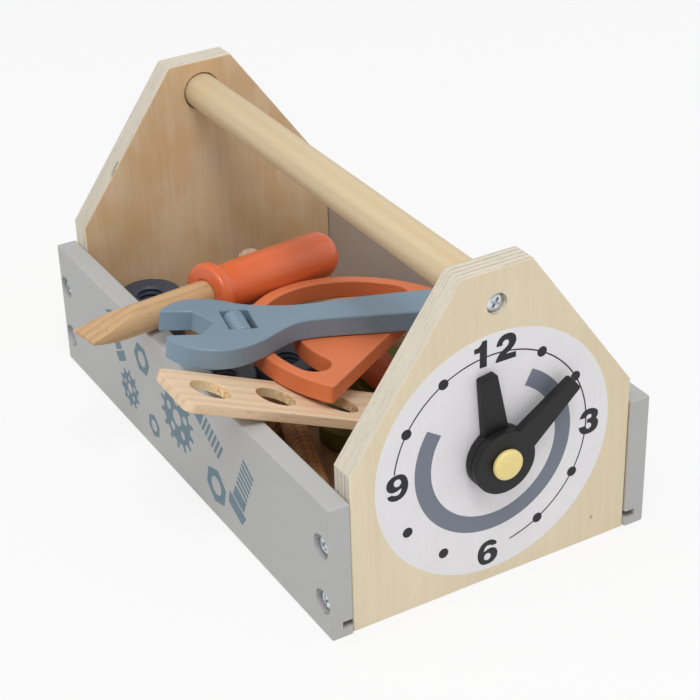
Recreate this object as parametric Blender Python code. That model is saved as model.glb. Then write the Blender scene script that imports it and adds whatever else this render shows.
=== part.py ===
# Wooden toy tool box: an open box with house-shaped ends and a dowel handle,
# a play clock on one end, and a loose set of wooden tools lying in it.
import math

import bmesh
import bpy
from mathutils import Matrix, Vector

mm = 0.001

# Clearances
fit_gap = 0.3 * mm          # between pieces that touch
run_gap = 0.35 * mm         # round a shaft that something turns on
overrun = 1.0 * mm          # how far a cutter reaches past the face it cuts

# Box
box_length = 276.0 * mm
inner_width = 140.0 * mm
side_height = 66.0 * mm
side_thickness = 10.3 * mm
side_round = 0.9 * mm
end_height = 151.5 * mm
shoulder_height = 77.5 * mm
end_top_width = 34.0 * mm
end_thickness = 12.5 * mm
end_setback = 1.0 * mm
end_round = 0.7 * mm
floor_thickness = 2.8 * mm
groove_height_above_base = 4.8 * mm
groove_depth = 5.2 * mm

# Handle
handle_radius = 9.0 * mm
handle_drop = 16.0 * mm         # from the end panels' tops to the handle's axis
handle_socket_depth = 7.0 * mm
handle_socket_clearance = 0.45 * mm

# Screws
screw_head_radius = 4.5 * mm
screw_head_height = 2.4 * mm
screw_shank_radius = 1.9 * mm
screw_shank_length = 26.0 * mm
screw_recess_length = 5.2 * mm
screw_recess_width = 1.3 * mm
screw_recess_depth = 1.4 * mm
screw_sink = 1.3 * mm
side_counterbore_radius = 5.8 * mm
handle_counterbore_radius = 4.9 * mm
screw_low_height = 16.5 * mm
screw_high_height = 44.5 * mm

# Clock
clock_height = 64.2 * mm
hand_thickness = 3.8 * mm
hub_radius = 14.8 * mm
hour_hand_length = 42.0 * mm
hour_hand_base_width = 11.4 * mm
hour_hand_tip_width = 7.2 * mm
minute_hand_length = 46.0 * mm
minute_hand_base_width = 12.2 * mm
minute_hand_tip_width = 7.4 * mm
hand_point = 2.2 * mm
hand_round = 0.5 * mm
hour_angle = math.radians(-7.0)
minute_angle = math.radians(50.0)
pin_head_radius = 7.0 * mm
pin_head_height = 2.8 * mm
pin_shaft_radius = 4.0 * mm
pin_socket_depth = 9.0 * mm

# Strips with holes
strip_width = 36.0 * mm
strip_thickness = 4.8 * mm
strip_hole_radius = 9.2 * mm
strip_hole_spacing = 32.6 * mm
strip_end_margin = 18.8 * mm
strip_far_margin = 20.8 * mm
strip_round = 0.7 * mm
strip_corner = 4.5 * mm
long_strip_holes = 4
short_strip_holes = 2
long_strip_overhang = 37.3 * mm
long_strip_turn = math.radians(-4.2)
long_strip_roll = math.radians(2.8)     # the side towards the clock end is the higher one
long_strip_place_share = 0.1992         # along the box, from its middle
short_strip_turn = math.radians(90.0)
short_strip_place_share = -0.048
short_strip_rear_gap = 13.3 * mm

# Hammer
hammer_head_radius = 15.7 * mm
hammer_head_length = 50.0 * mm
hammer_head_chamfer = 2.5 * mm
hammer_grip_radius = 9.0 * mm
hammer_neck_radius = 7.4 * mm
hammer_tang_radius = 6.2 * mm
hammer_tang_length = 20.0 * mm
hammer_length = 126.0 * mm
hammer_head_setback = 24.8 * mm  # from the clock end panel to the head's middle
hammer_place_share = 0.2122
hammer_turn = math.radians(180.0)
hammer_neck_share = 0.12          # of the handle, from the head to the full grip

# Bolts and nuts
bolt_head_radius = 14.0 * mm
bolt_head_height = 10.0 * mm
bolt_head_chamfer = 1.2 * mm
bolt_shaft_radius = 6.0 * mm
bolt_point = 1.2 * mm
standing_bolt_shaft = 36.0 * mm
lying_bolt_shaft = 54.0 * mm
nut_radius = 16.5 * mm
nut_thickness = 11.0 * mm
nut_round = 1.6 * mm
nut_bore_chamfer = 0.8 * mm
nut_stack_count = 3
nut_stack_end_gap = 1.4 * mm
nut_stack_side_gap = 8.3 * mm
nut_pair_gap = 1.1 * mm
nut_pair_turn = math.radians(-94.6)
middle_nut_place_shares = (-0.189, 0.0)
olive_nut_place_shares = (0.0763, 0.0)
standing_bolt_end_gap = 13.5 * mm
standing_bolt_place_share = 0.057
lying_bolt_place_shares = (0.012, -0.186)    # under the bolt's head
lying_bolt_turn = math.radians(-15.0)

# Protractor
protractor_radius = 62.0 * mm
protractor_centre_offset = 5.3 * mm
protractor_thickness = 9.0 * mm
protractor_slot_outer = 56.0 * mm
protractor_slot_inner = 39.0 * mm
protractor_slot_start = math.radians(15.5)
protractor_round = 0.9 * mm
protractor_corner = 2.0 * mm
protractor_turn = math.radians(125.5)
protractor_slope = math.radians(8.0)
protractor_place_share = 0.106
protractor_rear_gap = 4.8 * mm

# Screwdriver
blade_radius = 7.3 * mm
blade_length = 71.0 * mm
blade_tang_radius = 5.2 * mm
blade_tang_length = 16.0 * mm
blade_tip_thickness = 1.4 * mm
blade_tip_length = 29.0 * mm
blade_overhang = 45.0 * mm
blade_roll = math.radians(5.0)
grip_radius = 11.9 * mm
grip_collar_radius = 14.9 * mm
grip_collar_length = 7.0 * mm
grip_waist_radius = 11.2 * mm
grip_length = 80.0 * mm
driver_turn = math.radians(13.3)
driver_slope = math.radians(-5.0)

# Adjustable wrench
wrench_thickness = 10.0 * mm
wrench_round = 0.9 * mm
wrench_length = 152.0 * mm
wrench_head_width = 52.9 * mm
wrench_turn = math.radians(77.5)
wrench_place_share = 0.0066
wrench_rear_gap = 5.1 * mm
window_length = 19.3 * mm
window_width = 13.4 * mm
worm_radius = 5.4 * mm
worm_groove_depth = 0.8 * mm
worm_ridges = 6
worm_pin_radius = 1.5 * mm
worm_pin_bite = 3.0 * mm

# Outline of the wrench as shares of its length and of its head's width,
# from the jaws to the handle's end. The upper side has the small jaw.
upper_jaw_shares = (
    (0.019, 0.779), (0.022, 0.820), (0.043, 0.881), (0.061, 0.928),
    (0.082, 0.964), (0.105, 0.987), (0.126, 1.000), (0.155, 0.998),
    (0.184, 0.985), (0.211, 0.957), (0.233, 0.926), (0.253, 0.889),
    (0.277, 0.853), (0.305, 0.828), (0.347, 0.805), (0.406, 0.785),
    (0.471, 0.792), (0.520, 0.813), (0.570, 0.845), (0.634, 0.872),
    (0.699, 0.896), (0.765, 0.919), (0.832, 0.941), (0.905, 0.964),
    (0.960, 0.981), (0.986, 0.983))
handle_end_shares = (
    (0.999, 0.957), (1.005, 0.900), (1.006, 0.749), (1.003, 0.588),
    (0.995, 0.531), (0.980, 0.510))
lower_jaw_shares = (
    (0.807, 0.512), (0.731, 0.501), (0.653, 0.492), (0.592, 0.492),
    (0.530, 0.484), (0.484, 0.475), (0.437, 0.454), (0.407, 0.423),
    (0.385, 0.386), (0.361, 0.337), (0.323, 0.250), (0.292, 0.178),
    (0.267, 0.127), (0.236, 0.074), (0.204, 0.032), (0.173, 0.008),
    (0.144, 0.000), (0.116, 0.008), (0.091, 0.030), (0.070, 0.057),
    (0.050, 0.091), (0.033, 0.132), (0.017, 0.189), (0.005, 0.250),
    (0.000, 0.297), (0.005, 0.335))
mouth_shares = (
    (0.105, 0.318), (0.161, 0.522), (0.116, 0.751))
window_centre_shares = (0.2405, 0.5586)


def clear_scene():
    for thing in list(bpy.data.objects):
        bpy.data.objects.remove(thing, do_unlink=True)


def make_material(name, colour, roughness, metallic=0.0):
    material = bpy.data.materials.new(name)
    material.use_nodes = True
    shader = material.node_tree.nodes["Principled BSDF"]
    shader.inputs["Base Color"].default_value = (*colour, 1.0)
    shader.inputs["Roughness"].default_value = roughness
    shader.inputs["Metallic"].default_value = metallic
    material.diffuse_color = (*colour, 1.0)
    return material


def add_object(name, bm, material, parent, pose=None, smooth_angle=35.0):
    bmesh.ops.recalc_face_normals(bm, faces=bm.faces)
    mesh = bpy.data.meshes.new(name)
    bm.to_mesh(mesh)
    bm.free()
    mesh.shade_smooth()
    mesh.set_sharp_from_angle(angle=math.radians(smooth_angle))
    mesh.materials.append(material)
    thing = bpy.data.objects.new(name, mesh)
    bpy.context.scene.collection.objects.link(thing)
    thing.parent = parent
    if pose is not None:
        thing.matrix_basis = pose
    return thing


def add_empty(name, parent, pose=None):
    empty = bpy.data.objects.new(name, None)
    bpy.context.scene.collection.objects.link(empty)
    empty.empty_display_size = fit_gap
    empty.parent = parent
    if pose is not None:
        empty.matrix_basis = pose
    return empty


def cut_with(thing, cutter):
    cutter.hide_render = True
    cutter.display_type = 'WIRE'
    cutter.parent = thing.parent
    cutter.matrix_basis = thing.matrix_basis @ cutter.matrix_basis
    modifier = thing.modifiers.new(cutter.name, 'BOOLEAN')
    modifier.operation = 'DIFFERENCE'
    modifier.object = cutter
    modifier.solver = 'EXACT'


def round_edges(thing, width, segments=2, angle=40.0):
    modifier = thing.modifiers.new("Rounded edges", 'BEVEL')
    modifier.width = width
    modifier.segments = segments
    modifier.limit_method = 'ANGLE'
    modifier.angle_limit = math.radians(angle)
    modifier.use_clamp_overlap = True


def box_mesh(low, high):
    bm = bmesh.new()
    bmesh.ops.create_cube(bm, size=1.0)
    size = Vector(high) - Vector(low)
    middle = (Vector(high) + Vector(low)) / 2
    bmesh.ops.scale(bm, vec=size, verts=bm.verts)
    bmesh.ops.translate(bm, vec=middle, verts=bm.verts)
    return bm


def prism_mesh(outline, low, high):
    # An outline in X and Y, extruded from low to high along Z.
    bm = bmesh.new()
    ring = [bm.verts.new((x, y, low)) for x, y in outline]
    face = bm.faces.new(ring)
    grown = bmesh.ops.extrude_face_region(bm, geom=[face])
    top = [v for v in grown["geom"] if isinstance(v, bmesh.types.BMVert)]
    bmesh.ops.translate(bm, vec=(0.0, 0.0, high - low), verts=top)
    return bm


def turned_mesh(profile, segments):
    # A profile of radius and height, turned round Z and closed at both ends.
    bm = bmesh.new()
    rings = []
    for radius, height in profile:
        if radius == 0.0:
            rings.append([bm.verts.new((0.0, 0.0, height))])
            continue
        rings.append([
            bm.verts.new((
                radius * math.cos(math.tau * i / segments),
                radius * math.sin(math.tau * i / segments),
                height))
            for i in range(segments)])
    for lower, upper in zip(rings, rings[1:]):
        bridge_rings(bm, lower, upper)
    for ring in (rings[0], rings[-1]):
        if len(ring) > 1:
            bm.faces.new(ring)
    return bm


def turned_mesh_open(profile, segments):
    # A closed loop of radius and height turned round Z, with a bore through it.
    bm = bmesh.new()
    rings = []
    for radius, height in profile:
        rings.append([
            bm.verts.new((
                radius * math.cos(math.tau * i / segments),
                radius * math.sin(math.tau * i / segments), height))
            for i in range(segments)])
    for lower, upper in zip(rings, rings[1:] + rings[:1]):
        bridge_rings(bm, lower, upper)
    return bm


def bridge_rings(bm, lower, upper):
    count = max(len(lower), len(upper))
    for i in range(count):
        j = (i + 1) % count
        if len(lower) == 1:
            bm.faces.new((lower[0], upper[i], upper[j]))
        elif len(upper) == 1:
            bm.faces.new((lower[i], lower[j], upper[0]))
        else:
            bm.faces.new((lower[i], lower[j], upper[j], upper[i]))


def cylinder_mesh(radius, low, high, segments=32):
    return turned_mesh([(radius, low), (radius, high)], segments)


def circle_points(centre, radius, start, stop, count):
    points = []
    for i in range(count + 1):
        angle = start + (stop - start) * i / count
        points.append((centre[0] + radius * math.cos(angle), centre[1] + radius * math.sin(angle)))
    return points


def frame_at(origin, x_axis, z_axis):
    # A pose whose Z is z_axis and whose X is as near as can be to x_axis.
    z = Vector(z_axis).normalized()
    x = Vector(x_axis)
    x = (x - z * x.dot(z)).normalized()
    y = z.cross(x)
    pose = Matrix((x, y, z)).transposed().to_4x4()
    pose.translation = Vector(origin)
    return pose


def inside(outline, x, y):
    hit = False
    for (ax, ay), (bx, by) in zip(outline, outline[1:] + outline[:1]):
        if (ay > y) != (by > y) and x < ax + (y - ay) * (bx - ax) / (by - ay):
            hit = not hit
    return hit


def skin_gap(pose, outline, thickness, skin):
    # Least gap between a slab's lower face and the points under it.
    least = None
    inverse = pose.inverted()
    for point in skin:
        local = inverse @ point
        if inside(outline, local.x, local.y):
            gap = -thickness - local.z
            least = gap if least is None else min(least, gap)
    return least


def settled(pose, outline, thickness, skin):
    # The slab moved straight up or down until it clears the points by the fit gap.
    pose = pose.copy()
    for step in range(4):
        least = skin_gap(pose, outline, thickness, skin)
        if least is not None:
            pose.translation.z += (fit_gap - least) / pose.col[2].z
    return pose


def round_skin(start, along, radius, length, rows, slices=60):
    # Points on the upper half of a cylinder's surface.
    side = along.cross(Vector((0.0, 0.0, 1.0))).normalized()
    over = side.cross(along)
    points = []
    for i in range(rows + 1):
        middle = start + along * (length * i / rows)
        for j in range(1, slices):
            turn = math.pi * j / slices
            points.append(middle + side * radius * math.cos(turn) + over * radius * math.sin(turn))
    return points


def flat_skin(pose, outline, parts):
    # Points on the upper face of a slab.
    xs = [x for x, y in outline]
    ys = [y for x, y in outline]
    points = [pose @ Vector((x, y, 0.0)) for x, y in outline]
    for i in range(1, parts):
        for j in range(1, parts):
            x = min(xs) + (max(xs) - min(xs)) * i / parts
            y = min(ys) + (max(ys) - min(ys)) * j / parts
            if inside(outline, x, y):
                points.append(pose @ Vector((x, y, 0.0)))
    return points


clear_scene()

grey_paint = make_material("Grey paint", (0.43, 0.43, 0.41), 0.55)
birch_ply = make_material("Birch plywood", (0.70, 0.60, 0.43), 0.62)
beech_dowel = make_material("Beech dowel", (0.68, 0.54, 0.34), 0.5)
pine_floor = make_material("Thin plywood floor", (0.50, 0.38, 0.24), 0.7)
zinc = make_material("Zinc plated steel", (0.75, 0.75, 0.74), 0.3, 1.0)
black_paint = make_material("Black paint", (0.035, 0.035, 0.036), 0.6)
yellow_wood = make_material("Varnished pin wood", (0.80, 0.62, 0.28), 0.45)
blue_paint = make_material("Blue-grey paint", (0.22, 0.30, 0.36), 0.5)
orange_paint = make_material("Orange paint", (0.66, 0.18, 0.07), 0.45)
slate_paint = make_material("Slate paint", (0.08, 0.10, 0.12), 0.5)
olive_paint = make_material("Olive paint", (0.12, 0.11, 0.03), 0.6)
pine = make_material("Natural pine", (0.66, 0.48, 0.27), 0.65)

side_face = inner_width / 2 + fit_gap
outer_face = side_face + side_thickness
end_outer_x = box_length / 2 - end_setback
end_inner_x = end_outer_x - end_thickness
end_middle_x = end_outer_x - end_thickness / 2
inner_length = 2 * end_inner_x
handle_height = end_height - handle_drop
groove_height = floor_thickness + 2 * fit_gap
floor_top = groove_height_above_base + fit_gap + floor_thickness
rest_height = floor_top + fit_gap
screw_hole_radius = screw_shank_radius + fit_gap

tool_box = add_empty("tool_box", None)


def screw_mesh():
    # Head up +Z with the seat under the head at the origin, shank down.
    chamfer = screw_head_height * 0.4
    tip = screw_shank_radius * 2
    profile = [
        (0.0, -screw_shank_length),
        (screw_shank_radius, tip - screw_shank_length),
        (screw_shank_radius, 0.0),
        (screw_head_radius, 0.0),
        (screw_head_radius, screw_head_height - chamfer),
        (screw_head_radius - chamfer, screw_head_height)]
    return turned_mesh(profile, 16)


def add_screw(name, pose):
    screw = add_object(name, screw_mesh(), zinc, tool_box, pose)
    for turn in (0.0, math.pi / 2):
        half_length = screw_recess_length / 2
        half_width = screw_recess_width / 2
        bottom = screw_head_height - screw_recess_depth
        bm = box_mesh(
            (-half_length, -half_width, bottom),
            (half_length, half_width, screw_head_height + overrun))
        cutter = add_object(name + "_recess", bm, zinc, None, Matrix.Rotation(turn, 4, 'Z'))
        cut_with(screw, cutter)
    return screw


def add_counterbore(thing, name, pose, radius, depth, length):
    # The pose's origin is on the face, with Z out of it.
    inner = depth + length
    profile = [
        (screw_hole_radius, -inner),
        (screw_hole_radius, -depth),
        (radius, -depth),
        (radius, overrun)]
    cutter = add_object(name, turned_mesh(profile, 24), zinc, None, pose)
    cut_with(thing, cutter)


def build_side(name, facing):
    # facing is -1 for the front panel and +1 for the rear one.
    bm = box_mesh(
        (-box_length / 2, -side_thickness / 2, 0.0),
        (box_length / 2, side_thickness / 2, side_height))
    y = facing * (side_face + side_thickness / 2)
    panel = add_object(name, bm, grey_paint, tool_box, Matrix.Translation((0.0, y, 0.0)))
    round_edges(panel, side_round)
    inner = -facing * side_thickness / 2
    deep = inner + facing * groove_depth
    past = inner - facing * overrun
    groove = box_mesh(
        (-box_length / 2 - overrun, min(deep, past), groove_height_above_base),
        (box_length / 2 + overrun, max(deep, past), groove_height_above_base + groove_height))
    cut_with(panel, add_object(name + "_groove", groove, grey_paint, None))
    sink = screw_head_height + screw_sink + fit_gap
    for end in (-1, 1):
        for level, height in (("low", screw_low_height), ("high", screw_high_height)):
            x = end * end_middle_x
            pose = frame_at(
                (x, facing * side_thickness / 2, height), (1.0, 0.0, 0.0), (0.0, facing, 0.0))
            tag = name + "_bore_" + level + ("_clock" if end > 0 else "_back")
            add_counterbore(panel, tag, pose, side_counterbore_radius, sink, side_thickness)
    return panel


def build_end(name, side):
    # side is +1 for the clock end and -1 for the back end.
    half = inner_width / 2
    top = end_top_width / 2
    outline = [
        (-half, 0.0), (half, 0.0), (half, shoulder_height),
        (top, end_height), (-top, end_height), (-half, shoulder_height)]
    bm = prism_mesh(outline, 0.0, end_thickness)
    pose = Matrix((
        (0.0, 0.0, 1.0, side * end_middle_x - end_thickness / 2),
        (1.0, 0.0, 0.0, 0.0),
        (0.0, 1.0, 0.0, 0.0),
        (0.0, 0.0, 0.0, 1.0)))
    panel = add_object(name, bm, birch_ply, tool_box, pose)
    round_edges(panel, end_round)
    inner = 0.0 if side > 0 else end_thickness
    outer = end_thickness - inner
    socket = cylinder_mesh(
        handle_radius + handle_socket_clearance,
        min(inner - side * overrun, inner + side * handle_socket_depth),
        max(inner - side * overrun, inner + side * handle_socket_depth), 40)
    place = Matrix.Translation((0.0, handle_height, 0.0))
    cut_with(panel, add_object(name + "_socket", socket, birch_ply, None, place))
    bore_pose = frame_at((0.0, handle_height, outer), (1.0, 0.0, 0.0), (0.0, 0.0, side))
    sink = screw_head_height + screw_sink + fit_gap
    add_counterbore(
        panel, name + "_handle_bore", bore_pose, handle_counterbore_radius, sink, end_thickness)
    for facing in (-1, 1):
        for level, height in (("low", screw_low_height), ("high", screw_high_height)):
            pilot = cylinder_mesh(screw_hole_radius, -screw_shank_length, overrun, 12)
            pilot_pose = frame_at(
                (facing * half, height, end_thickness / 2), (0.0, 0.0, 1.0), (facing, 0.0, 0.0))
            tag = name + "_pilot_" + level + ("_rear" if facing > 0 else "_front")
            cut_with(panel, add_object(tag, pilot, birch_ply, None, pilot_pose))
    if side > 0:
        bore = cylinder_mesh(
            pin_shaft_radius + fit_gap, end_thickness - pin_socket_depth, end_thickness + overrun)
        bore_place = Matrix.Translation((0.0, clock_height, 0.0))
        cut_with(panel, add_object(name + "_pin_bore", bore, birch_ply, None, bore_place))
    return panel


def build_box():
    build_side("front_side_panel", -1)
    build_side("rear_side_panel", 1)
    build_end("clock_end_panel", 1)
    build_end("back_end_panel", -1)
    half_width = side_face + groove_depth - fit_gap
    half_length = end_inner_x - fit_gap
    low = groove_height_above_base + fit_gap
    bm = box_mesh(
        (-half_length, -half_width, low), (half_length, half_width, low + floor_thickness))
    add_object("bottom_panel", bm, pine_floor, tool_box)
    seat = side_thickness - screw_head_height - screw_sink
    for facing, side_name in ((-1, "front"), (1, "rear")):
        for end, end_name in ((1, "clock"), (-1, "back")):
            for level, height in (("low", screw_low_height), ("high", screw_high_height)):
                y = facing * (side_face + seat)
                pose = frame_at(
                    (end * end_middle_x, y, height), (1.0, 0.0, 0.0), (0.0, facing, 0.0))
                add_screw("screw_" + side_name + "_" + end_name + "_" + level, pose)


def build_handle():
    half = end_inner_x + handle_socket_depth - fit_gap
    chamfer = handle_radius * 0.08
    profile = [
        (handle_radius - chamfer, -half), (handle_radius, chamfer - half),
        (handle_radius, half - chamfer), (handle_radius - chamfer, half)]
    pose = frame_at((0.0, 0.0, handle_height), (0.0, 1.0, 0.0), (1.0, 0.0, 0.0))
    dowel = add_object("handle_dowel", turned_mesh(profile, 40), beech_dowel, tool_box, pose)
    for end, end_name in ((1, "clock"), (-1, "back")):
        pilot = cylinder_mesh(
            screw_hole_radius, half - screw_shank_length, half + overrun, 12)
        turn = Matrix.Rotation(0.0 if end > 0 else math.pi, 4, 'X')
        cut_with(dowel, add_object("dowel_pilot_" + end_name, pilot, beech_dowel, None, turn))
        seat_x = end * (end_outer_x - screw_head_height - screw_sink)
        screw_pose = frame_at((seat_x, 0.0, handle_height), (0.0, 1.0, 0.0), (end, 0.0, 0.0))
        add_screw("handle_screw_" + end_name, screw_pose)


def hand_mesh(length, base_width, tip_width):
    # The hand points along +Y, its hub is round the origin.
    reach = math.asin(base_width / 2 / hub_radius)
    start = math.pi / 2 + reach
    outline = circle_points(
        (0.0, 0.0), hub_radius, start, start + math.tau - 2 * reach, 30)
    outline.append((tip_width / 2, length - hand_point))
    outline.append((0.0, length))
    outline.append((-tip_width / 2, length - hand_point))
    return prism_mesh(outline, 0.0, hand_thickness)


def build_clock():
    # Z of each hand's pose points out of the clock face, Y towards twelve.
    first = end_outer_x + fit_gap
    second = first + hand_thickness + fit_gap
    hands = (
        ("hour_hand", first, hour_angle,
         hour_hand_length, hour_hand_base_width, hour_hand_tip_width),
        ("minute_hand", second, minute_angle,
         minute_hand_length, minute_hand_base_width, minute_hand_tip_width))
    for name, x, angle, length, base_width, tip_width in hands:
        pose = frame_at((x, 0.0, clock_height), (0.0, 1.0, 0.0), (1.0, 0.0, 0.0))
        pose = pose @ Matrix.Rotation(-angle, 4, 'Z')
        hand = add_object(
            name, hand_mesh(length, base_width, tip_width), black_paint, tool_box, pose)
        round_edges(hand, hand_round, segments=1)
        bore = cylinder_mesh(
            pin_shaft_radius + run_gap, -overrun, hand_thickness + overrun)
        cut_with(hand, add_object(name + "_bore", bore, black_paint, None))
    head = second + hand_thickness + fit_gap - end_outer_x
    dome = pin_head_height * 0.35
    profile = [
        (pin_shaft_radius * 0.9, fit_gap - pin_socket_depth),
        (pin_shaft_radius, fit_gap - pin_socket_depth + pin_shaft_radius * 0.2),
        (pin_shaft_radius, head),
        (pin_head_radius * 0.97, head),
        (pin_head_radius, head + dome * 0.5),
        (pin_head_radius, head + pin_head_height - dome * 1.6),
        (pin_head_radius * 0.93, head + pin_head_height - dome),
        (pin_head_radius * 0.6, head + pin_head_height - dome * 0.35),
        (0.0, head + pin_head_height)]
    pose = frame_at((end_outer_x, 0.0, clock_height), (0.0, 1.0, 0.0), (1.0, 0.0, 0.0))
    add_object("clock_pin", turned_mesh(profile, 24), yellow_wood, tool_box, pose)


def strip_length(holes):
    return strip_end_margin + strip_far_margin + (holes - 1) * strip_hole_spacing


def build_strip(name, holes, material, pose):
    # X runs along the strip from its end, Z out of its upper face.
    length = strip_length(holes)
    half = strip_width / 2 - strip_corner
    outline = []
    for x, y, start in (
            (length - strip_corner, half, 0.0), (strip_corner, half, math.pi / 2),
            (strip_corner, -half, math.pi), (length - strip_corner, -half, math.pi * 1.5)):
        outline += circle_points((x, y), strip_corner, start, start + math.pi / 2, 4)
    bm = prism_mesh(outline, -strip_thickness, 0.0)
    strip = add_object(name, bm, material, tool_box, pose)
    round_edges(strip, strip_round)
    for i in range(holes):
        x = strip_end_margin + i * strip_hole_spacing
        hole = cylinder_mesh(strip_hole_radius, -strip_thickness - overrun, overrun, 28)
        place = Matrix.Translation((x, 0.0, 0.0))
        cut_with(strip, add_object(name + "_hole_" + str(i + 1), hole, material, None, place))
    return strip


def against_rear(pose, outline, thickness, gap):
    # The slab moved across the box until it is a gap away from the rear panel.
    pose = pose.copy()
    reach = max(
        (pose @ Vector((x, y, z))).y for x, y in outline for z in (0.0, -thickness))
    pose.translation.y += side_face - gap - reach
    return pose


def short_strip_pose():
    along = Vector((-math.sin(short_strip_turn), math.cos(short_strip_turn), 0.0))
    length = strip_length(short_strip_holes)
    x = short_strip_place_share * inner_length - along.x * length / 2
    pose = frame_at((x, 0.0, rest_height + strip_thickness), along, (0.0, 0.0, 1.0))
    outline = strip_outline(short_strip_holes)
    return against_rear(pose, outline, strip_thickness, short_strip_rear_gap)


def hammer_axis():
    # From the middle of the head to the end of the grip, which lies on the short strip.
    x = end_inner_x - hammer_head_setback
    head = Vector((x, hammer_place_share * inner_width, rest_height + hammer_head_radius))
    low = rest_height + strip_thickness + fit_gap + hammer_grip_radius
    drop = head.z - low
    flat = math.sqrt(hammer_length ** 2 - drop ** 2)
    along = Vector((
        flat * math.cos(hammer_turn), flat * math.sin(hammer_turn), -drop)).normalized()
    return head, along


def build_hammer():
    head, along = hammer_axis()
    across = along.cross(Vector((0.0, 0.0, 1.0))).normalized()
    half = hammer_head_length / 2
    rim = hammer_head_radius - hammer_head_chamfer
    profile = [
        (rim, -half), (hammer_head_radius, hammer_head_chamfer - half),
        (hammer_head_radius, half - hammer_head_chamfer), (rim, half)]
    head_pose = frame_at(head, along, across)
    block = add_object("hammer_head", turned_mesh(profile, 40), slate_paint, tool_box, head_pose)
    tang_start = hammer_head_radius - hammer_tang_length
    bore = cylinder_mesh(
        hammer_tang_radius + fit_gap, tang_start - fit_gap, hammer_head_radius + overrun)
    turn = Matrix.Rotation(math.pi / 2, 4, 'Y')
    cut_with(block, add_object("hammer_head_bore", bore, slate_paint, None, turn))
    shoulder = hammer_head_radius + fit_gap
    grip_start = shoulder + (hammer_length - shoulder) * hammer_neck_share
    end_round_off = hammer_grip_radius * 0.35
    profile = [
        (hammer_tang_radius, tang_start),
        (hammer_tang_radius, shoulder),
        (hammer_neck_radius, shoulder),
        (hammer_neck_radius, shoulder + (grip_start - shoulder) * 0.3),
        (hammer_grip_radius * 0.95, grip_start - (grip_start - shoulder) * 0.2),
        (hammer_grip_radius, grip_start),
        (hammer_grip_radius, hammer_length - end_round_off),
        (hammer_grip_radius - end_round_off * 0.3, hammer_length - end_round_off * 0.3),
        (hammer_grip_radius - end_round_off, hammer_length)]
    handle_pose = frame_at(head, across, along)
    add_object("hammer_handle", turned_mesh(profile, 24), orange_paint, tool_box, handle_pose)


def strip_pose_at(slope):
    # The strip's low side lies on the front panel's inner top edge at this slope.
    direction = Vector((
        -math.sin(long_strip_turn) * math.cos(slope),
        math.cos(long_strip_turn) * math.cos(slope),
        -math.sin(slope)))
    level = Vector((math.cos(long_strip_turn), math.sin(long_strip_turn), 0.0))
    side = Matrix.Rotation(long_strip_roll, 3, -direction) @ level
    normal = side.cross(direction).normalized()
    half = strip_width / 2
    edge = Vector((long_strip_place_share * inner_length - half, -side_face, side_height))
    start = edge + normal * (strip_thickness + fit_gap) + side * half
    return frame_at(start - direction * long_strip_overhang, direction, normal)


def strip_outline(holes):
    length = strip_length(holes)
    half = strip_width / 2
    return [(0.0, -half), (length, -half), (length, half), (0.0, half)]


def long_strip_pose():
    # The far part of the strip lies on the hammer's handle.
    head, along = hammer_axis()
    skin = round_skin(head, along, hammer_grip_radius, hammer_length, 110)
    outline = strip_outline(long_strip_holes)
    low = 0.0
    high = math.radians(45.0)
    for step in range(20):
        slope = (low + high) / 2
        least = skin_gap(strip_pose_at(slope), outline, strip_thickness, skin)
        if least is None or least > fit_gap:
            low = slope
        else:
            high = slope
    return strip_pose_at(low)


def bolt_mesh(shaft_length):
    # Head below the origin, shaft up +Z.
    profile = [
        (bolt_head_radius - bolt_head_chamfer, -bolt_head_height),
        (bolt_head_radius, bolt_head_chamfer - bolt_head_height),
        (bolt_head_radius, -bolt_head_chamfer),
        (bolt_head_radius - bolt_head_chamfer, 0.0),
        (bolt_shaft_radius, 0.0),
        (bolt_shaft_radius, shaft_length - bolt_point),
        (bolt_shaft_radius - bolt_point, shaft_length)]
    return turned_mesh(profile, 32)


def build_bolts():
    x = standing_bolt_end_gap + bolt_head_radius - end_inner_x
    y = standing_bolt_place_share * inner_width
    standing = Matrix.Translation((x, y, rest_height + bolt_head_height))
    add_object("standing_bolt", bolt_mesh(standing_bolt_shaft), pine, tool_box, standing)
    lift = bolt_head_radius - bolt_shaft_radius
    slope = math.atan2(lift, lying_bolt_shaft - bolt_point + bolt_head_chamfer)
    along = Vector((
        math.cos(slope) * math.cos(lying_bolt_turn),
        math.cos(slope) * math.sin(lying_bolt_turn), -math.sin(slope)))
    raise_by = bolt_head_radius * math.cos(slope) - bolt_head_chamfer * math.sin(slope)
    middle = Vector((
        lying_bolt_place_shares[0] * inner_length,
        lying_bolt_place_shares[1] * inner_width, rest_height + raise_by))
    lying = frame_at(middle, (0.0, 0.0, 1.0), along)
    add_object("lying_bolt", bolt_mesh(lying_bolt_shaft), pine, tool_box, lying)


def nut_mesh():
    # Round nut with a bore through it, its lower face at the origin.
    bore = bolt_shaft_radius + run_gap
    mouth = bore + nut_bore_chamfer
    edge = nut_radius - nut_round
    ease = nut_radius - nut_round * 0.3
    profile = [
        (mouth, 0.0), (edge, 0.0), (ease, nut_round * 0.3),
        (nut_radius, nut_round), (nut_radius, nut_thickness - nut_round),
        (ease, nut_thickness - nut_round * 0.3),
        (edge, nut_thickness), (mouth, nut_thickness),
        (bore, nut_thickness - nut_bore_chamfer), (bore, nut_bore_chamfer)]
    return turned_mesh_open(profile, 22)


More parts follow.
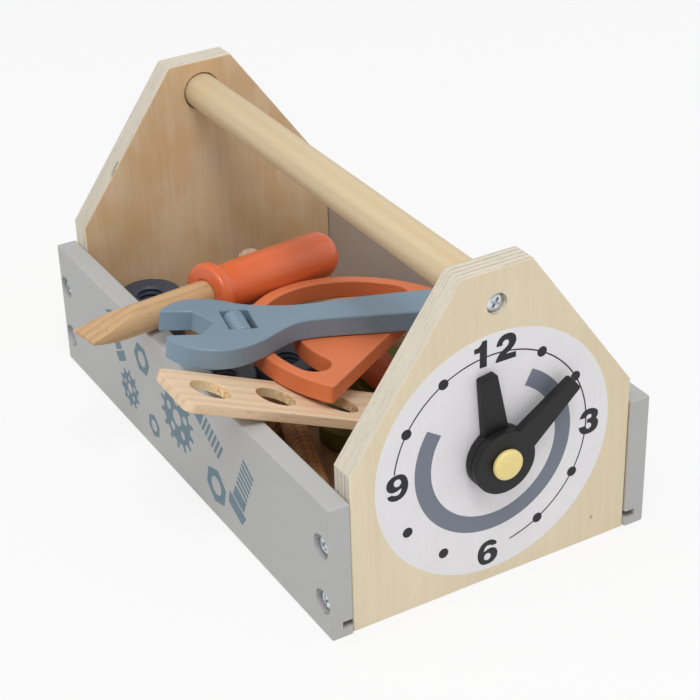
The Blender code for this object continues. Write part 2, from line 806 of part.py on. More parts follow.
def build_nuts():
    for i in range(nut_stack_count):
        x = nut_stack_end_gap + nut_radius - end_inner_x
        y = nut_stack_side_gap + nut_radius - side_face
        pose = Matrix.Translation((x, y, rest_height + i * (nut_thickness + fit_gap)))
        add_object("stacked_nut_" + str(i + 1), nut_mesh(), slate_paint, tool_box, pose)
    middle = Vector((
        middle_nut_place_shares[0] * inner_length,
        middle_nut_place_shares[1] * inner_width, rest_height))
    apart = 2 * nut_radius + nut_pair_gap
    front = middle + Vector((math.cos(nut_pair_turn), math.sin(nut_pair_turn), 0.0)) * apart
    olive = Vector((
        olive_nut_place_shares[0] * inner_length,
        olive_nut_place_shares[1] * inner_width, rest_height))
    for name, place, material in (
            ("front_nut", front, slate_paint), ("middle_nut", middle, slate_paint),
            ("olive_nut", olive, olive_paint)):
        add_object(name, nut_mesh(), material, tool_box, Matrix.Translation(place))


def protractor_outline(count=42):
    # X runs along the straight edge, Y towards the arc, the origin at the edge's middle.
    corner = math.asin(protractor_centre_offset / protractor_radius)
    return circle_points(
        (0.0, protractor_centre_offset), protractor_radius, -corner, math.pi + corner, count)


def protractor_pose(strip):
    # It leans from the long strip down towards the rear panel.
    along = Vector((math.cos(protractor_turn), math.sin(protractor_turn), 0.0))
    normal = Vector((0.0, math.sin(protractor_slope), math.cos(protractor_slope)))
    middle = Vector((protractor_place_share * inner_length, 0.0, side_height))
    outline = protractor_outline()
    pose = frame_at(middle, along, normal)
    pose = against_rear(pose, outline, protractor_thickness, protractor_rear_gap)
    skin = flat_skin(strip, strip_outline(long_strip_holes), 90)
    return settled(pose, outline, protractor_thickness, skin)


def build_protractor(pose):
    bm = prism_mesh(protractor_outline(), -protractor_thickness, 0.0)
    board = add_object("protractor", bm, orange_paint, tool_box, pose)
    round_edges(board, protractor_round)
    middle = (protractor_slot_outer + protractor_slot_inner) / 2
    half = (protractor_slot_outer - protractor_slot_inner) / 2
    start = protractor_slot_start
    stop = math.pi - start
    centre = (0.0, protractor_centre_offset)
    outline = circle_points(centre, protractor_slot_outer, start, stop, 36)
    end = (middle * math.cos(stop), protractor_centre_offset + middle * math.sin(stop))
    outline += circle_points(end, half, stop, stop + math.pi, 10)[1:-1]
    outline += circle_points(centre, protractor_slot_inner, stop, start, 30)
    end = (middle * math.cos(start), protractor_centre_offset + middle * math.sin(start))
    outline += circle_points(end, half, start + math.pi, start + math.tau, 10)[1:-1]
    slot = prism_mesh(outline, -protractor_thickness - overrun, overrun)
    cut_with(board, add_object("protractor_slot", slot, orange_paint, None))


def driver_axis(x):
    # A point on the screwdriver's axis above the front panel's inner top edge.
    along = Vector((
        -math.sin(driver_turn) * math.cos(driver_slope),
        math.cos(driver_turn) * math.cos(driver_slope),
        math.sin(driver_slope)))
    height = side_height + (blade_radius + fit_gap) / math.cos(driver_slope)
    return Vector((x, -side_face, height)), along


def driver_place(pose):
    # The screwdriver lies against the protractor's rim.
    rim = [
        pose @ Vector((x, y, -z))
        for x, y in protractor_outline(120)
        for z in (0.0, protractor_round, protractor_thickness)]
    grip_from = long_driver_share() + grip_collar_length
    reach = grip_radius + fit_gap
    low = -inner_length / 2
    high = 0.0
    for step in range(24):
        x = (low + high) / 2
        point, along = driver_axis(x)
        clear = True
        for corner in rim:
            offset = corner - point
            distance = offset.dot(along)
            if distance < grip_from - grip_radius:
                limit = blade_radius + fit_gap
            elif distance < grip_from:
                limit = grip_collar_radius + fit_gap
            else:
                limit = reach
            if (offset - along * distance).length < limit:
                clear = False
                break
        if clear:
            low = x
        else:
            high = x
    return driver_axis(low)


def long_driver_share():
    # Distance along the axis from the panel's edge to the front of the collar.
    return blade_length - blade_overhang


def build_driver(point, along):
    level = along.cross(Vector((0.0, 0.0, 1.0))).normalized()
    pose = frame_at(point + along * long_driver_share(), level, along)
    pose = pose @ Matrix.Rotation(blade_roll, 4, 'Z')
    ease = blade_radius * 0.15
    profile = [
        (blade_radius, -blade_length),
        (blade_radius, -ease - fit_gap),
        (blade_radius - ease, -fit_gap),
        (blade_tang_radius, -fit_gap),
        (blade_tang_radius, blade_tang_length)]
    bm = turned_mesh(profile, 32)
    for side in (-1, 1):
        tip = Vector((0.0, side * blade_tip_thickness / 2, -blade_length))
        rise = blade_radius - blade_tip_thickness / 2
        normal = Vector((0.0, side * blade_tip_length, -rise)).normalized()
        geometry = bm.verts[:] + bm.edges[:] + bm.faces[:]
        cut = bmesh.ops.bisect_plane(
            bm, geom=geometry, plane_co=tip, plane_no=normal, clear_outer=True)
        edges = [e for e in cut["geom_cut"] if isinstance(e, bmesh.types.BMEdge)]
        bmesh.ops.contextual_create(bm, geom=edges)
    add_object("screwdriver_blade", bm, pine, tool_box, pose)
    bore_radius = blade_tang_radius + fit_gap
    bore_end = blade_tang_length + fit_gap
    lip = grip_collar_length * 0.22
    groove = grip_collar_length * 0.25
    end_part = grip_radius * 0.55
    profile = [
        (bore_radius, bore_end), (bore_radius, 0.0),
        (grip_collar_radius - lip, 0.0),
        (grip_collar_radius - lip * 0.3, lip * 0.3),
        (grip_collar_radius, lip),
        (grip_collar_radius, grip_collar_length - lip),
        (grip_collar_radius - lip * 0.6, grip_collar_length),
        (grip_waist_radius, grip_collar_length + groove),
        (grip_waist_radius + groove * 0.2, grip_collar_length + groove * 2),
        (grip_radius, grip_collar_length + grip_radius),
        (grip_radius, grip_length * 0.7),
        (grip_radius, grip_length - end_part),
        (grip_radius - end_part * 0.12, grip_length - end_part * 0.55),
        (grip_radius - end_part * 0.45, grip_length - end_part * 0.18),
        (grip_radius - end_part, grip_length)]
    add_object("screwdriver_handle", turned_mesh(profile, 24), orange_paint, tool_box, pose)


def wrench_point(shares):
    return (shares[0] * wrench_length, (shares[1] - 0.5) * wrench_head_width)


def wrench_outline():
    # X runs from the jaws to the end of the handle, Y towards the small jaw.
    shares = upper_jaw_shares + handle_end_shares + lower_jaw_shares + mouth_shares
    return [wrench_point(pair) for pair in shares]


def wrench_pose_at(tilt, height):
    along = Vector((math.cos(wrench_turn), math.sin(wrench_turn), 0.0))
    normal = Vector((0.0, math.sin(tilt), math.cos(tilt)))
    pose = frame_at((wrench_place_share * inner_length, 0.0, height), along, normal)
    return against_rear(pose, wrench_outline(), wrench_thickness, wrench_rear_gap)


def wrench_pose(board):
    # The wrench lies flat on the protractor, its head reaching past the board's rim.
    plate = flat_skin(board, protractor_outline(90), 30)
    level = wrench_pose_at(protractor_slope, handle_height)
    return settled(level, wrench_outline(), wrench_thickness, plate)


def build_wrench(pose):
    bm = prism_mesh(wrench_outline(), -wrench_thickness, 0.0)
    body = add_object("wrench_body", bm, blue_paint, tool_box, pose)
    round_edges(body, wrench_round, angle=50.0)
    x, y = wrench_point(window_centre_shares)
    half_x = window_width / 2
    half_y = window_length / 2
    window = box_mesh(
        (x - half_x, y - half_y, -wrench_thickness - overrun), (x + half_x, y + half_y, overrun))
    cut_with(body, add_object("wrench_window", window, blue_paint, None))
    pin_half = half_y + worm_pin_bite
    bore = cylinder_mesh(worm_pin_radius + fit_gap, -pin_half - fit_gap, pin_half + fit_gap, 16)
    across = frame_at((x, y, -wrench_thickness / 2), (0.0, 0.0, 1.0), (0.0, 1.0, 0.0))
    cut_with(body, add_object("worm_pin_bore", bore, blue_paint, None, across))
    place = pose @ across
    pin = cylinder_mesh(worm_pin_radius, -pin_half, pin_half, 16)
    add_object("worm_pin", pin, zinc, tool_box, place)
    half = half_y - fit_gap
    root = worm_radius - worm_groove_depth
    bore_radius = worm_pin_radius + run_gap
    step = 2 * half / worm_ridges
    profile = [(bore_radius, -half)]
    for i in range(worm_ridges):
        start = i * step - half
        profile.append((root, start))
        profile.append((worm_radius, start + step * 0.25))
        profile.append((worm_radius, start + step * 0.7))
    profile.append((root, half))
    profile.append((bore_radius, half))
    bm = turned_mesh_open(profile, 16)
    add_object("wrench_worm", bm, blue_paint, tool_box, place)


def place_origin():
    # The whole part is moved so that the middle of its lowest extent is the origin.
    bpy.context.view_layer.update()
    graph = bpy.context.evaluated_depsgraph_get()
    low = Vector((math.inf, math.inf, math.inf))
    high = -low
    for thing in bpy.data.objects:
        if thing.type != 'MESH' or thing.hide_render:
            continue
        solid = thing.evaluated_get(graph)
        mesh = solid.to_mesh()
        for vertex in mesh.vertices:
            point = thing.matrix_world @ vertex.co
            low = Vector(map(min, low, point))
            high = Vector(map(max, high, point))
        solid.to_mesh_clear()
    tool_box.location = (-(low.x + high.x) / 2, -(low.y + high.y) / 2, -low.z)
    bpy.context.view_layer.update()


long_strip_place = long_strip_pose()
protractor_place = protractor_pose(long_strip_place)
driver_point, driver_along = driver_place(protractor_place)

build_box()
build_handle()
build_clock()
build_strip("short_strip", short_strip_holes, olive_paint, short_strip_pose())
build_hammer()
build_strip("long_strip", long_strip_holes, pine, long_strip_place)
build_bolts()
build_nuts()
build_protractor(protractor_place)
build_driver(driver_point, driver_along)
build_wrench(wrench_pose(protractor_place))
place_origin()
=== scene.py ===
# Wooden toy tool box with a play clock: the looks of each piece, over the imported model.
# Sizes are in millimetres in the dictionaries, and in metres once a piece is placed.
import bpy
import bmesh
from math import asin, cos, pi, radians, sin, tan, tau
from mathutils import Matrix, Vector


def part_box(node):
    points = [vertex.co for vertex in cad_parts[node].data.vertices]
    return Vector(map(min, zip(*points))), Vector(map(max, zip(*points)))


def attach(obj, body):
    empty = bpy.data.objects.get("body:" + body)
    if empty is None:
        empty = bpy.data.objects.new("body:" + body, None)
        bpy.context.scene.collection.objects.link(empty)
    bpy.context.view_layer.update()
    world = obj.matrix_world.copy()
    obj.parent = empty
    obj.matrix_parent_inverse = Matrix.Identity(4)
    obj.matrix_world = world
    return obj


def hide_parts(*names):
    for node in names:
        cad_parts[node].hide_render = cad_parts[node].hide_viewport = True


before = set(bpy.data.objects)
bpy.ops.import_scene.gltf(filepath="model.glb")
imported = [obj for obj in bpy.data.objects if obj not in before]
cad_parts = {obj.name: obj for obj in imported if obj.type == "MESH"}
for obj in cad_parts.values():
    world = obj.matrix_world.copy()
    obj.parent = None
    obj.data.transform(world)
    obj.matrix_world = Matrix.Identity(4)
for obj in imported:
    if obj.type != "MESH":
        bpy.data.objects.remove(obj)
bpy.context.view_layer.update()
scene = bpy.context.scene
millimetre = 0.001

# The box's middle at floor level: everything below is measured from it.
floorLow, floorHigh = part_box("bottom_panel")
boxMiddle = Vector(((floorLow.x + floorHigh.x) / 2, (floorLow.y + floorHigh.y) / 2, 0))
print("stage: frame loaded", len(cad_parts), "nodes")


# Colour and shader maths.

def paint(*chart):
    # A colour as a paint chart gives it, made linear: red, green and blue from 11 to 255.
    return tuple(((value / 255 + 0.055) / 1.055) ** 2.4 for value in chart) + (1,)


def settle(target, **values):
    for key, value in values.items():
        setattr(target, key, value)


class Dial:
    # A number that runs through a material, with the usual signs of arithmetic.
    def __init__(self, graph, socket):
        self.graph = graph
        self.socket = socket

    def step(self, operation, *parts):
        node = self.graph.node("Math", {"operation": operation})
        for socket, part in zip(node.inputs, parts):
            self.graph.feed(socket, part)
        return Dial(self.graph, node.outputs[0])

    def wave(self):
        return self.step("SINE", self)

    def above(self, low, high):
        # 0 under low, 1 over high, a soft edge between.
        node = self.graph.node("MapRange", {"interpolation_type": "SMOOTHSTEP"}, From_Min=low,
                               From_Max=high, Value=self)
        return Dial(self.graph, node.outputs["Result"])


def sign(operation, turned):
    # What a sign of arithmetic does. It is turned round where a plain number stands first.
    return lambda dial, other: dial.step(operation, *((other, dial) if turned else (dial, other)))


for name, operation in (("add", "ADD"), ("sub", "SUBTRACT"), ("mul", "MULTIPLY"), ("pow", "POWER")):
    setattr(Dial, "__%s__" % name, sign(operation, False))
    setattr(Dial, "__r%s__" % name, sign(operation, True))


class Graph:
    # A tree of nodes. A socket takes a plain value, another socket or a Dial.
    def __init__(self, tree):
        self.tree = tree

    def node(self, kind, settings=None, **sockets):
        node = self.tree.nodes.new("ShaderNode" + kind)
        settle(node, **(settings or {}))
        return self.fill(node, **sockets)

    def fill(self, node, **sockets):
        for key, value in sockets.items():
            self.feed(node.inputs[key.replace("_", " ")], value)
        return node

    def feed(self, socket, value):
        if isinstance(value, Dial):
            self.tree.links.new(value.socket, socket)
        elif isinstance(value, bpy.types.NodeSocket):
            self.tree.links.new(value, socket)
        else:
            socket.default_value = value

    def mixInto(self, output, *sources):
        # A factor, then the two shaders it mixes.
        mixer = self.node("MixShader")
        for socket, source in zip(mixer.inputs, sources):
            self.feed(socket, source)
        self.feed(output.inputs["Surface"], mixer.outputs[0])


class Finish(Graph):
    # One material: its shader, and the nodes that feed it.
    def __init__(self, name, roughness, metallic=0, specular=0.5, coat=0):
        self.material = bpy.data.materials.new(name)
        self.material.use_nodes = True
        Graph.__init__(self, self.material.node_tree)
        self.shader = self.tree.nodes["Principled BSDF"]
        self.fill(self.shader, Roughness=roughness, Metallic=metallic, Coat_Weight=coat,
                  Specular_IOR_Level=specular, Coat_Roughness=0.1)

    def attribute(self, name, output):
        return self.node("Attribute", {"attribute_name": name}).outputs[output]

    def onGrain(self):
        # Works from the piece's own place, kept on its mesh before it was laid in the box.
        self.where = self.attribute("grain", "Vector")
        return self

    def inBox(self):
        # Works from the place in the box.
        self.where = self.node("TexCoord").outputs["Object"]
        return self

    def part(self, axis):
        # One coordinate, in millimetres.
        node = self.node("SeparateXYZ", Vector=self.where)
        return Dial(self, node.outputs[axis]) * 1000

    def noise(self, fineness, detail=2, rough=0.5):
        # Noise from 0 to 1. Its fineness is one number, or one for each axis.
        if not isinstance(fineness, tuple):
            fineness = (fineness,) * 3
        scaled = self.node("VectorMath", {"operation": "MULTIPLY"})
        self.feed(scaled.inputs[0], self.where)
        self.feed(scaled.inputs[1], fineness)
        node = self.node("TexNoise", Vector=scaled.outputs["Vector"], Scale=1,
                         Detail=detail, Roughness=rough)
        return Dial(self, node.outputs["Fac"])

    def blend(self, factor, first, second):
        node = self.node("Mix", {"data_type": "RGBA"})
        for place, value in ((0, factor), (6, first), (7, second)):
            self.feed(node.inputs[place], value)
        return node.outputs[2]

    def relief(self, height, depth):
        # A bump of so many millimetres.
        return self.node("Bump", Height=height, Strength=1, Distance=depth * millimetre).outputs[0]

    def done(self, colour, roughness, normal):
        self.fill(self.shader, Base_Color=colour, Roughness=roughness, Normal=normal)
        return self.material


def lighter(colour, share):
    return tuple(min(1, c * share) for c in colour[:3]) + (1,)


def lanes(across, along, axis):
    # The fineness of fibres that run along one axis.
    return tuple(along if i == axis else across for i in range(3))


def paintedWood(name, colour, roughness, fibre=0.02, axis=0, coat=0, cloud=0.06, specular=0.5):
    # Paint on sanded wood: soft clouds in the colour, and fibres that stand up a little.
    look = Finish(name, roughness, coat=coat, specular=specular).onGrain()
    fibres = look.noise(lanes(1500, 45, axis), 3, 0.6)
    clouds = look.noise(38, 3)
    dust = look.noise(900, 1)
    tone = clouds * 0.6 + fibres * 0.4
    colours = look.blend(
        tone.above(0.3, 0.7), lighter(colour, 1 - cloud), lighter(colour, 1 + cloud))
    bumps = look.relief(fibres + dust * 0.3, fibre)
    return look.done(colours, roughness + (clouds - 0.5) * 0.12 + (fibres - 0.5) * 0.1, bumps)


def solidWood(name, pale, dark, rings, contrast, axis=0, roughness=0.6, fibre=0.03, pores=0,
              wobble=2, middle=(31, -44)):
    # Wood right through: year rings round a far middle, fibres along one axis, small pores.
    look = Finish(name, roughness, specular=0.4).onGrain()
    order = [a for a in range(3) if a != axis]
    drift = look.noise(lanes(34, 5, axis))
    first = look.part(order[0]) - middle[0]
    second = look.part(order[1]) - middle[1]
    reach = (first * first + second * second) ** 0.5
    ring = ((reach + (drift - 0.5) * wobble * rings * 2) * (tau / rings)).wave() * 0.5 + 0.5
    fibres = look.noise(lanes(1300, 26, axis), 3, 0.65)
    streaks = look.noise(lanes(240, 9, axis))
    tone = ((ring ** 2) * (contrast * 0.55) + (streaks - 0.5) * 0.9 * contrast
            + (fibres - 0.5) * 0.8 * contrast)
    colours = look.blend((tone + 0.2).above(0, 0.75), pale, dark)
    if pores:
        dots = look.noise(lanes(2300, 170, axis), 0).above(0.7, 0.76)
        colours = look.blend(dots * pores, colours, lighter(dark, 0.55))
    bumps = look.relief(fibres * 0.7 + streaks * 0.3, fibre)
    return look.done(colours, roughness + (fibres - 0.5) * 0.15, bumps)


def sawnWood(name, pale, dark):
    # A drilled wall: torn where the drill met the fibres' ends, smooth where it ran beside them.
    look = Finish(name, 0.8, specular=0.3).onGrain()
    coarse = look.noise((700, 700, 420), 3, 0.7)
    fine = look.noise((2200, 2200, 900))
    tone = coarse * 0.65 + fine * 0.35
    torn = Dial(look, look.attribute("torn", "Fac"))
    rough = look.blend(tone.above(0.36, 0.62), dark, pale)
    smooth = look.blend(fine.above(0.3, 0.7), lighter(pale, 0.8), lighter(pale, 0.68))
    colours = look.blend(torn, smooth, rough)
    return look.done(colours, 0.75 + coarse * 0.2, look.relief(tone * (torn * 0.85 + 0.15), 0.12))


def plyFace(name, pale, dark, flecks=0.1, spot=None, warm=None):
    # Rotary cut birch: an even pale face with upright streaks, a few flecks and warm patches.
    look = Finish(name, 0.58, specular=0.4).inBox()
    streaks = look.noise((260, 260, 7), 3, 0.55)
    fibres = look.noise((1700, 1700, 42), rough=0.6)
    clouds = look.noise((22, 22, 9))
    tone = streaks * 0.3 + fibres * 0.25 + clouds * 0.45
    colours = look.blend(tone.above(0.3, 0.7), dark, pale)
    if warm:
        # patches where the veneer was cut through darker wood, with torn upright edges
        patch = look.noise(24, rough=0.6)
        torn = look.noise((300, 300, 40))
        colours = look.blend(
            (patch + (torn - 0.5) * 0.25).above(0.4, 0.66) * 0.6, colours, warm)
    dots = look.noise((1500, 1500, 190), 0).above(0.73, 0.78)
    colours = look.blend(dots * flecks, colours, lighter(dark, 0.62))
    if spot:
        # one small dark spot in the veneer, at (y, z) from the box's middle
        across = look.part(1) - (boxMiddle.y * 1000 + spot[0])
        up = look.part(2) - spot[1]
        near = 1 - ((across * across * 1.6 + up * up) ** 0.5).above(0.6, 1.5)
        colours = look.blend(near * 0.75, colours, lighter(dark, 0.45))
    bumps = look.relief(fibres * 0.6 + streaks * 0.4, 0.015)
    return look.done(colours, 0.56 + (fibres - 0.5) * 0.2, bumps)


def plyEdge(name, pale, dark, start, ply, lines, splits, inner):
    # Pale plies side by side across X, a thin soft line between each pair, and fine fibres.
    look = Finish(name, 0.72, specular=0.3).inBox()
    waver = look.noise((60, 26, 26))
    across = look.part(0) - start
    depth = across + (waver - 0.5) * 0.5
    main = (depth * (tau / (ply * 2))).wave().above(0.62, 0.98)
    minor = (depth * (tau / ply) + 1.3).wave().above(0.5, 1)
    fade = look.noise((200, 34, 34))
    strands = look.noise((2400, 70, 70), 3, 0.6)
    pits = look.noise((900, 420, 420), 3, 0.7)
    tone = (main * (fade * 1.2) * lines + minor * (1.15 - fade * 1.3) * lines * 0.45
            + (strands - 0.5) * 1.1 + (pits - 0.5) * 0.5)
    colours = look.blend((tone + 0.12).above(0, 0.85), pale, dark)
    if splits:
        # short dark splits in the ply next to one face
        near = 1 - ((across - inner) * (across - inner)).above(0.3, 2.2)
        thin = look.noise((900, 70, 70), 1).above(0.66, 0.72)
        colours = look.blend(near * thin * splits, colours, lighter(dark, 0.16))
    bumps = look.relief(pits * 0.5 + strands * 0.5 - main * 0.4, 0.07)
    return look.done(colours, 0.7 + (pits - 0.5) * 0.2, bumps)


def zincSteel(name):
    look = Finish(name, 0.3, metallic=1).onGrain()
    bloom = look.noise(420, 3, 0.6)
    turned = look.noise((2600, 2600, 300), 1)
    colours = look.blend(bloom.above(0.35, 0.65), paint(196, 203, 214), paint(232, 234, 236))
    return look.done(colours, 0.22 + bloom * 0.2, look.relief(turned + bloom, 0.012))


def printedInk(name, colour, roughness):
    # Ink pressed on wood: it is not quite even, and the wood's fibres show through.
    look = Finish(name, roughness, specular=0.4).inBox()
    fibres = look.noise((1400, 1400, 60))
    clouds = look.noise(120, 3)
    tone = fibres * 0.5 + clouds * 0.5
    colours = look.blend(tone.above(0.3, 0.7), lighter(colour, 0.98), lighter(colour, 1.02))
    return look.done(colours, roughness + (clouds - 0.5) * 0.1, look.relief(fibres, 0.003))


# Shaping.

def linked(name, data):
    made = bpy.data.objects.new(name, data)
    scene.collection.objects.link(made)
    return made


def meshObject(name, bm):
    mesh = bpy.data.meshes.new(name)
    bm.to_mesh(mesh)
    bm.free()
    return linked(name, mesh)


def finalMesh(made):
    # The object's mesh with its modifiers or its curve's filling.
    return bpy.data.meshes.new_from_object(
        made.evaluated_get(bpy.context.evaluated_depsgraph_get()))


def bmeshOf(mesh):
    bm = bmesh.new()
    bm.from_mesh(mesh)
    return bm


def joinPoints(bm, reach):
    bmesh.ops.remove_doubles(bm, verts=bm.verts, dist=reach)
    bmesh.ops.recalc_face_normals(bm, faces=bm.faces)


def rectangle(left, right, low, high):
    return [(left, low), (right, low), (right, high), (left, high)]


def pick(sizes, names):
    return [sizes[name] for name in names.split()]


def flatShape(rims, thickness, ease=0, steps=2):
    # A flat board with its top at z 0. rims holds the outline first, then any holes.
    curve = bpy.data.curves.new("boardOutline", "CURVE")
    settle(curve, dimensions="2D", fill_mode="BOTH", extrude=thickness / 2 - ease,
           bevel_depth=ease, bevel_resolution=steps, offset=-ease)
    for rim in rims:
        spline = curve.splines.new("POLY")
        spline.points.add(len(rim) - 1)
        for point, spot in zip(spline.points, rim):
            point.co = (*spot, 0, 1)
        spline.use_cyclic_u = True
    helper = linked("boardOutline", curve)
    mesh = finalMesh(helper)
    bpy.data.objects.remove(helper)
    bpy.data.curves.remove(curve)
    bm = bmeshOf(mesh)
    bpy.data.meshes.remove(mesh)
    joinPoints(bm, 0.002)
    bmesh.ops.translate(bm, verts=bm.verts, vec=(0, 0, -thickness / 2))
    return bm


def turnedShape(profile, steps=64, ease=0, closed=False, limit=25):
    # The profile is (radius, height) pairs, spun round Z like work on a lathe.
    bm = bmesh.new()
    verts = [bm.verts.new((radius, 0, height)) for radius, height in profile]
    pairs = list(zip(verts, verts[1:]))
    if closed:
        pairs.append((verts[-1], verts[0]))
    edges = [bm.edges.new(pair) for pair in pairs]
    bmesh.ops.spin(
        bm, geom=verts + edges, cent=(0, 0, 0), axis=(0, 0, 1), dvec=(0, 0, 0),
        angle=tau, steps=steps, use_merge=True, use_duplicate=False)
    joinPoints(bm, 0.0005)
    if ease:
        easeEdges(bm, ease, limit)
    return bm


def easeEdges(bm, ease, limit, segments=3):
    sharp = [
        edge for edge in bm.edges
        if len(edge.link_faces) == 2 and edge.calc_face_angle(0) > radians(limit)]
    bmesh.ops.bevel(
        bm, geom=sharp, offset=ease, offset_type="OFFSET", segments=segments, profile=0.5,
        affect="EDGES", clamp_overlap=True, material=-1)


def around(centre, radius, angle):
    return (centre[0] + radius * cos(angle), centre[1] + radius * sin(angle))


def ringPoints(radius, count, centre=(0, 0), start=0, stop=None):
    # A closed ring, or an arc with both of its ends.
    sweep, turns = (tau, count) if stop is None else (stop - start, count - 1)
    return [around(centre, radius, start + sweep * i / turns) for i in range(count)]


def easedRound(radius, low, high, edge):
    # A turned outline from one height to another. Both edges take the same steps (in, along).
    return ([(radius - a, low + b) for a, b in edge]
            + [(radius - a, high - b) for a, b in reversed(edge)])


def roundedRim(corners, radius, count=7):
    # Each corner of an outline gets an arc; corners is a list of (x, y), or (x, y, radius).
    rim = []
    total = len(corners)
    for i, corner in enumerate(corners):
        here = Vector(corner[:2])
        before = (Vector(corners[i - 1][:2]) - here).normalized()
        after = (Vector(corners[(i + 1) % total][:2]) - here).normalized()
        own = corner[2] if len(corner) > 2 else radius
        half = before.angle(after) / 2
        if own <= 0 or half > radians(89):
            rim.append((here.x, here.y))
            continue
        back = own / tan(half)
        start = here + before * back
        end = here + after * back
        centre = here + (before + after).normalized() * (own / sin(half))
        first = start - centre
        sweep = first.angle_signed(end - centre)
        for k in range(count):
            turned = Matrix.Rotation(-sweep * k / (count - 1), 2) @ first
            rim.append((centre.x + turned.x, centre.y + turned.y))
    return rim


def smoothRim(points, sharp, count):
    # An easy curve through the points, with the named ones left as corners.
    rim = []
    total = len(points)
    for i in range(total):
        a, b, c, d = (Vector(points[(i + k) % total]) for k in (-1, 0, 1, 2))
        if i in sharp:
            a = b * 2 - c
        if (i + 1) % total in sharp:
            d = c * 2 - b
        for k in range(count):
            t = k / count
            spot = 0.5 * (
                b * 2 + (c - a) * t + (a * 2 - b * 5 + c * 4 - d) * t * t
                + (b * 3 - a - c * 3 + d) * t * t * t)
            rim.append((spot.x, spot.y))
    return rim


def layAt(at, x, z):
    # The pose of a piece: where its own origin is, and how its X and Z axes lie.
    zAxis = Vector(z).normalized()
    yAxis = zAxis.cross(Vector(x)).normalized()
    pose = Matrix((yAxis.cross(zAxis), yAxis, zAxis)).transposed().to_4x4()
    pose.translation = Vector(at) * millimetre + boxMiddle
    return pose @ Matrix.Scale(millimetre, 4)


def lay(sizes):
    return layAt(sizes["at"], sizes["x"], sizes["z"])


upright = layAt((0, 0, 0), (1, 0, 0), (0, 0, 1))
pieceCount = 0


def addPiece(name, bm, pose, looks, body="box", node=None, sharp=32, flat=False):
    # Keeps the piece's own coordinates for its grain, lays it in the box and lets it ride.
    global pieceCount
    pieceCount += 1
    start = Vector((0.37, 0.61, 0.23)) * (pieceCount % 7)
    grain = bm.verts.layers.float_vector.new("grain")
    for vert in bm.verts:
        vert[grain] = vert.co * millimetre + start
    bmesh.ops.transform(bm, matrix=pose, verts=bm.verts)
    piece = meshObject(name, bm)
    for look in (looks if isinstance(looks, list) else [looks]):
        piece.data.materials.append(look)
    piece.data.shade_smooth()
    piece.data.set_sharp_from_angle(angle=radians(sharp))
    if flat:
        settle(piece.modifiers.new("steadyShading", "WEIGHTED_NORMAL"), keep_sharp=True, weight=90)
    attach(piece, body)
    if node:
        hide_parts(node)


def cadShape(node):
    # A merged copy of a CAD node that lies straight in the box.
    bm = bmeshOf(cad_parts[node].data)
    bmesh.ops.transform(bm, matrix=upright.inverted(), verts=bm.verts)
    bmesh.ops.remove_doubles(bm, verts=bm.verts, dist=0.002)
    bmesh.ops.dissolve_limit(
        bm, angle_limit=radians(0.4), verts=bm.verts, edges=bm.edges, use_dissolve_boundaries=False)
    return bm


def slotFaces(bm, rule):
    bm.normal_update()
    for face in bm.faces:
        face.material_index = rule(face)


print("stage: tools ready")

# The box.

box = dict(
    sideFace=70.3, sideThickness=10.3, endOuter=137, endThickness=12.5, plyCount=9,
    handleHeight=135.5, handleRadius=9, handleBite=6.7,
    # the bore's wall lies between the first two radii, and is moved out to the third
    boreFrom=8.5, boreTo=9.6, bore=9.85,
    ends=dict(clock=dict(side=1, spot=(52.1, 11.9), lines=0.8, splits=0),
              back=dict(side=-1, spot=None, lines=0.25, splits=0.9)),
    # the sloped edges show finer and weaker plies; the splits lie this far from the inside
    slopePly=0.62, slopeLines=0.34, splitDepth=1.1,
    paint=paint(181, 181, 180), bounceLitGrey=paint(192, 184, 177),
    plyPale=paint(234, 220, 192), plyDark=paint(225, 208, 176),
    innerShadedPale=paint(226, 200, 164), innerShadedDark=paint(209, 179, 141), innerWarm=paint(205, 165, 116),
    edgePale=paint(217, 209, 193), edgeDark=paint(163, 152, 131),
    floorShadedPale=paint(148, 116, 82), floorShadedDark=paint(120, 91, 62),
    dowelPale=paint(216, 197, 162), dowelDark=paint(196, 168, 128),
)

greyPaint = paintedWood("greyPaint", box["paint"], 0.5, fibre=0.012, cloud=0.02)
# the side boards' inner faces take a lighter, warmer copy of the same grey paint: painted light for
# the warm light bounced off the wood inside the box
bounceLitGrey = paintedWood("greyPaintInsideBounceLit", box["bounceLitGrey"], 0.55, cloud=0.05)
for node, side in (("front_side_panel", -1), ("rear_side_panel", 1)):
    bm = cadShape(node)
    slotFaces(bm, lambda face: int(face.normal.y * side < -0.9))
    addPiece(node.replace("_panel", "_board"), bm, upright, [greyPaint, bounceLitGrey], "box", node,
             sharp=38, flat=True)
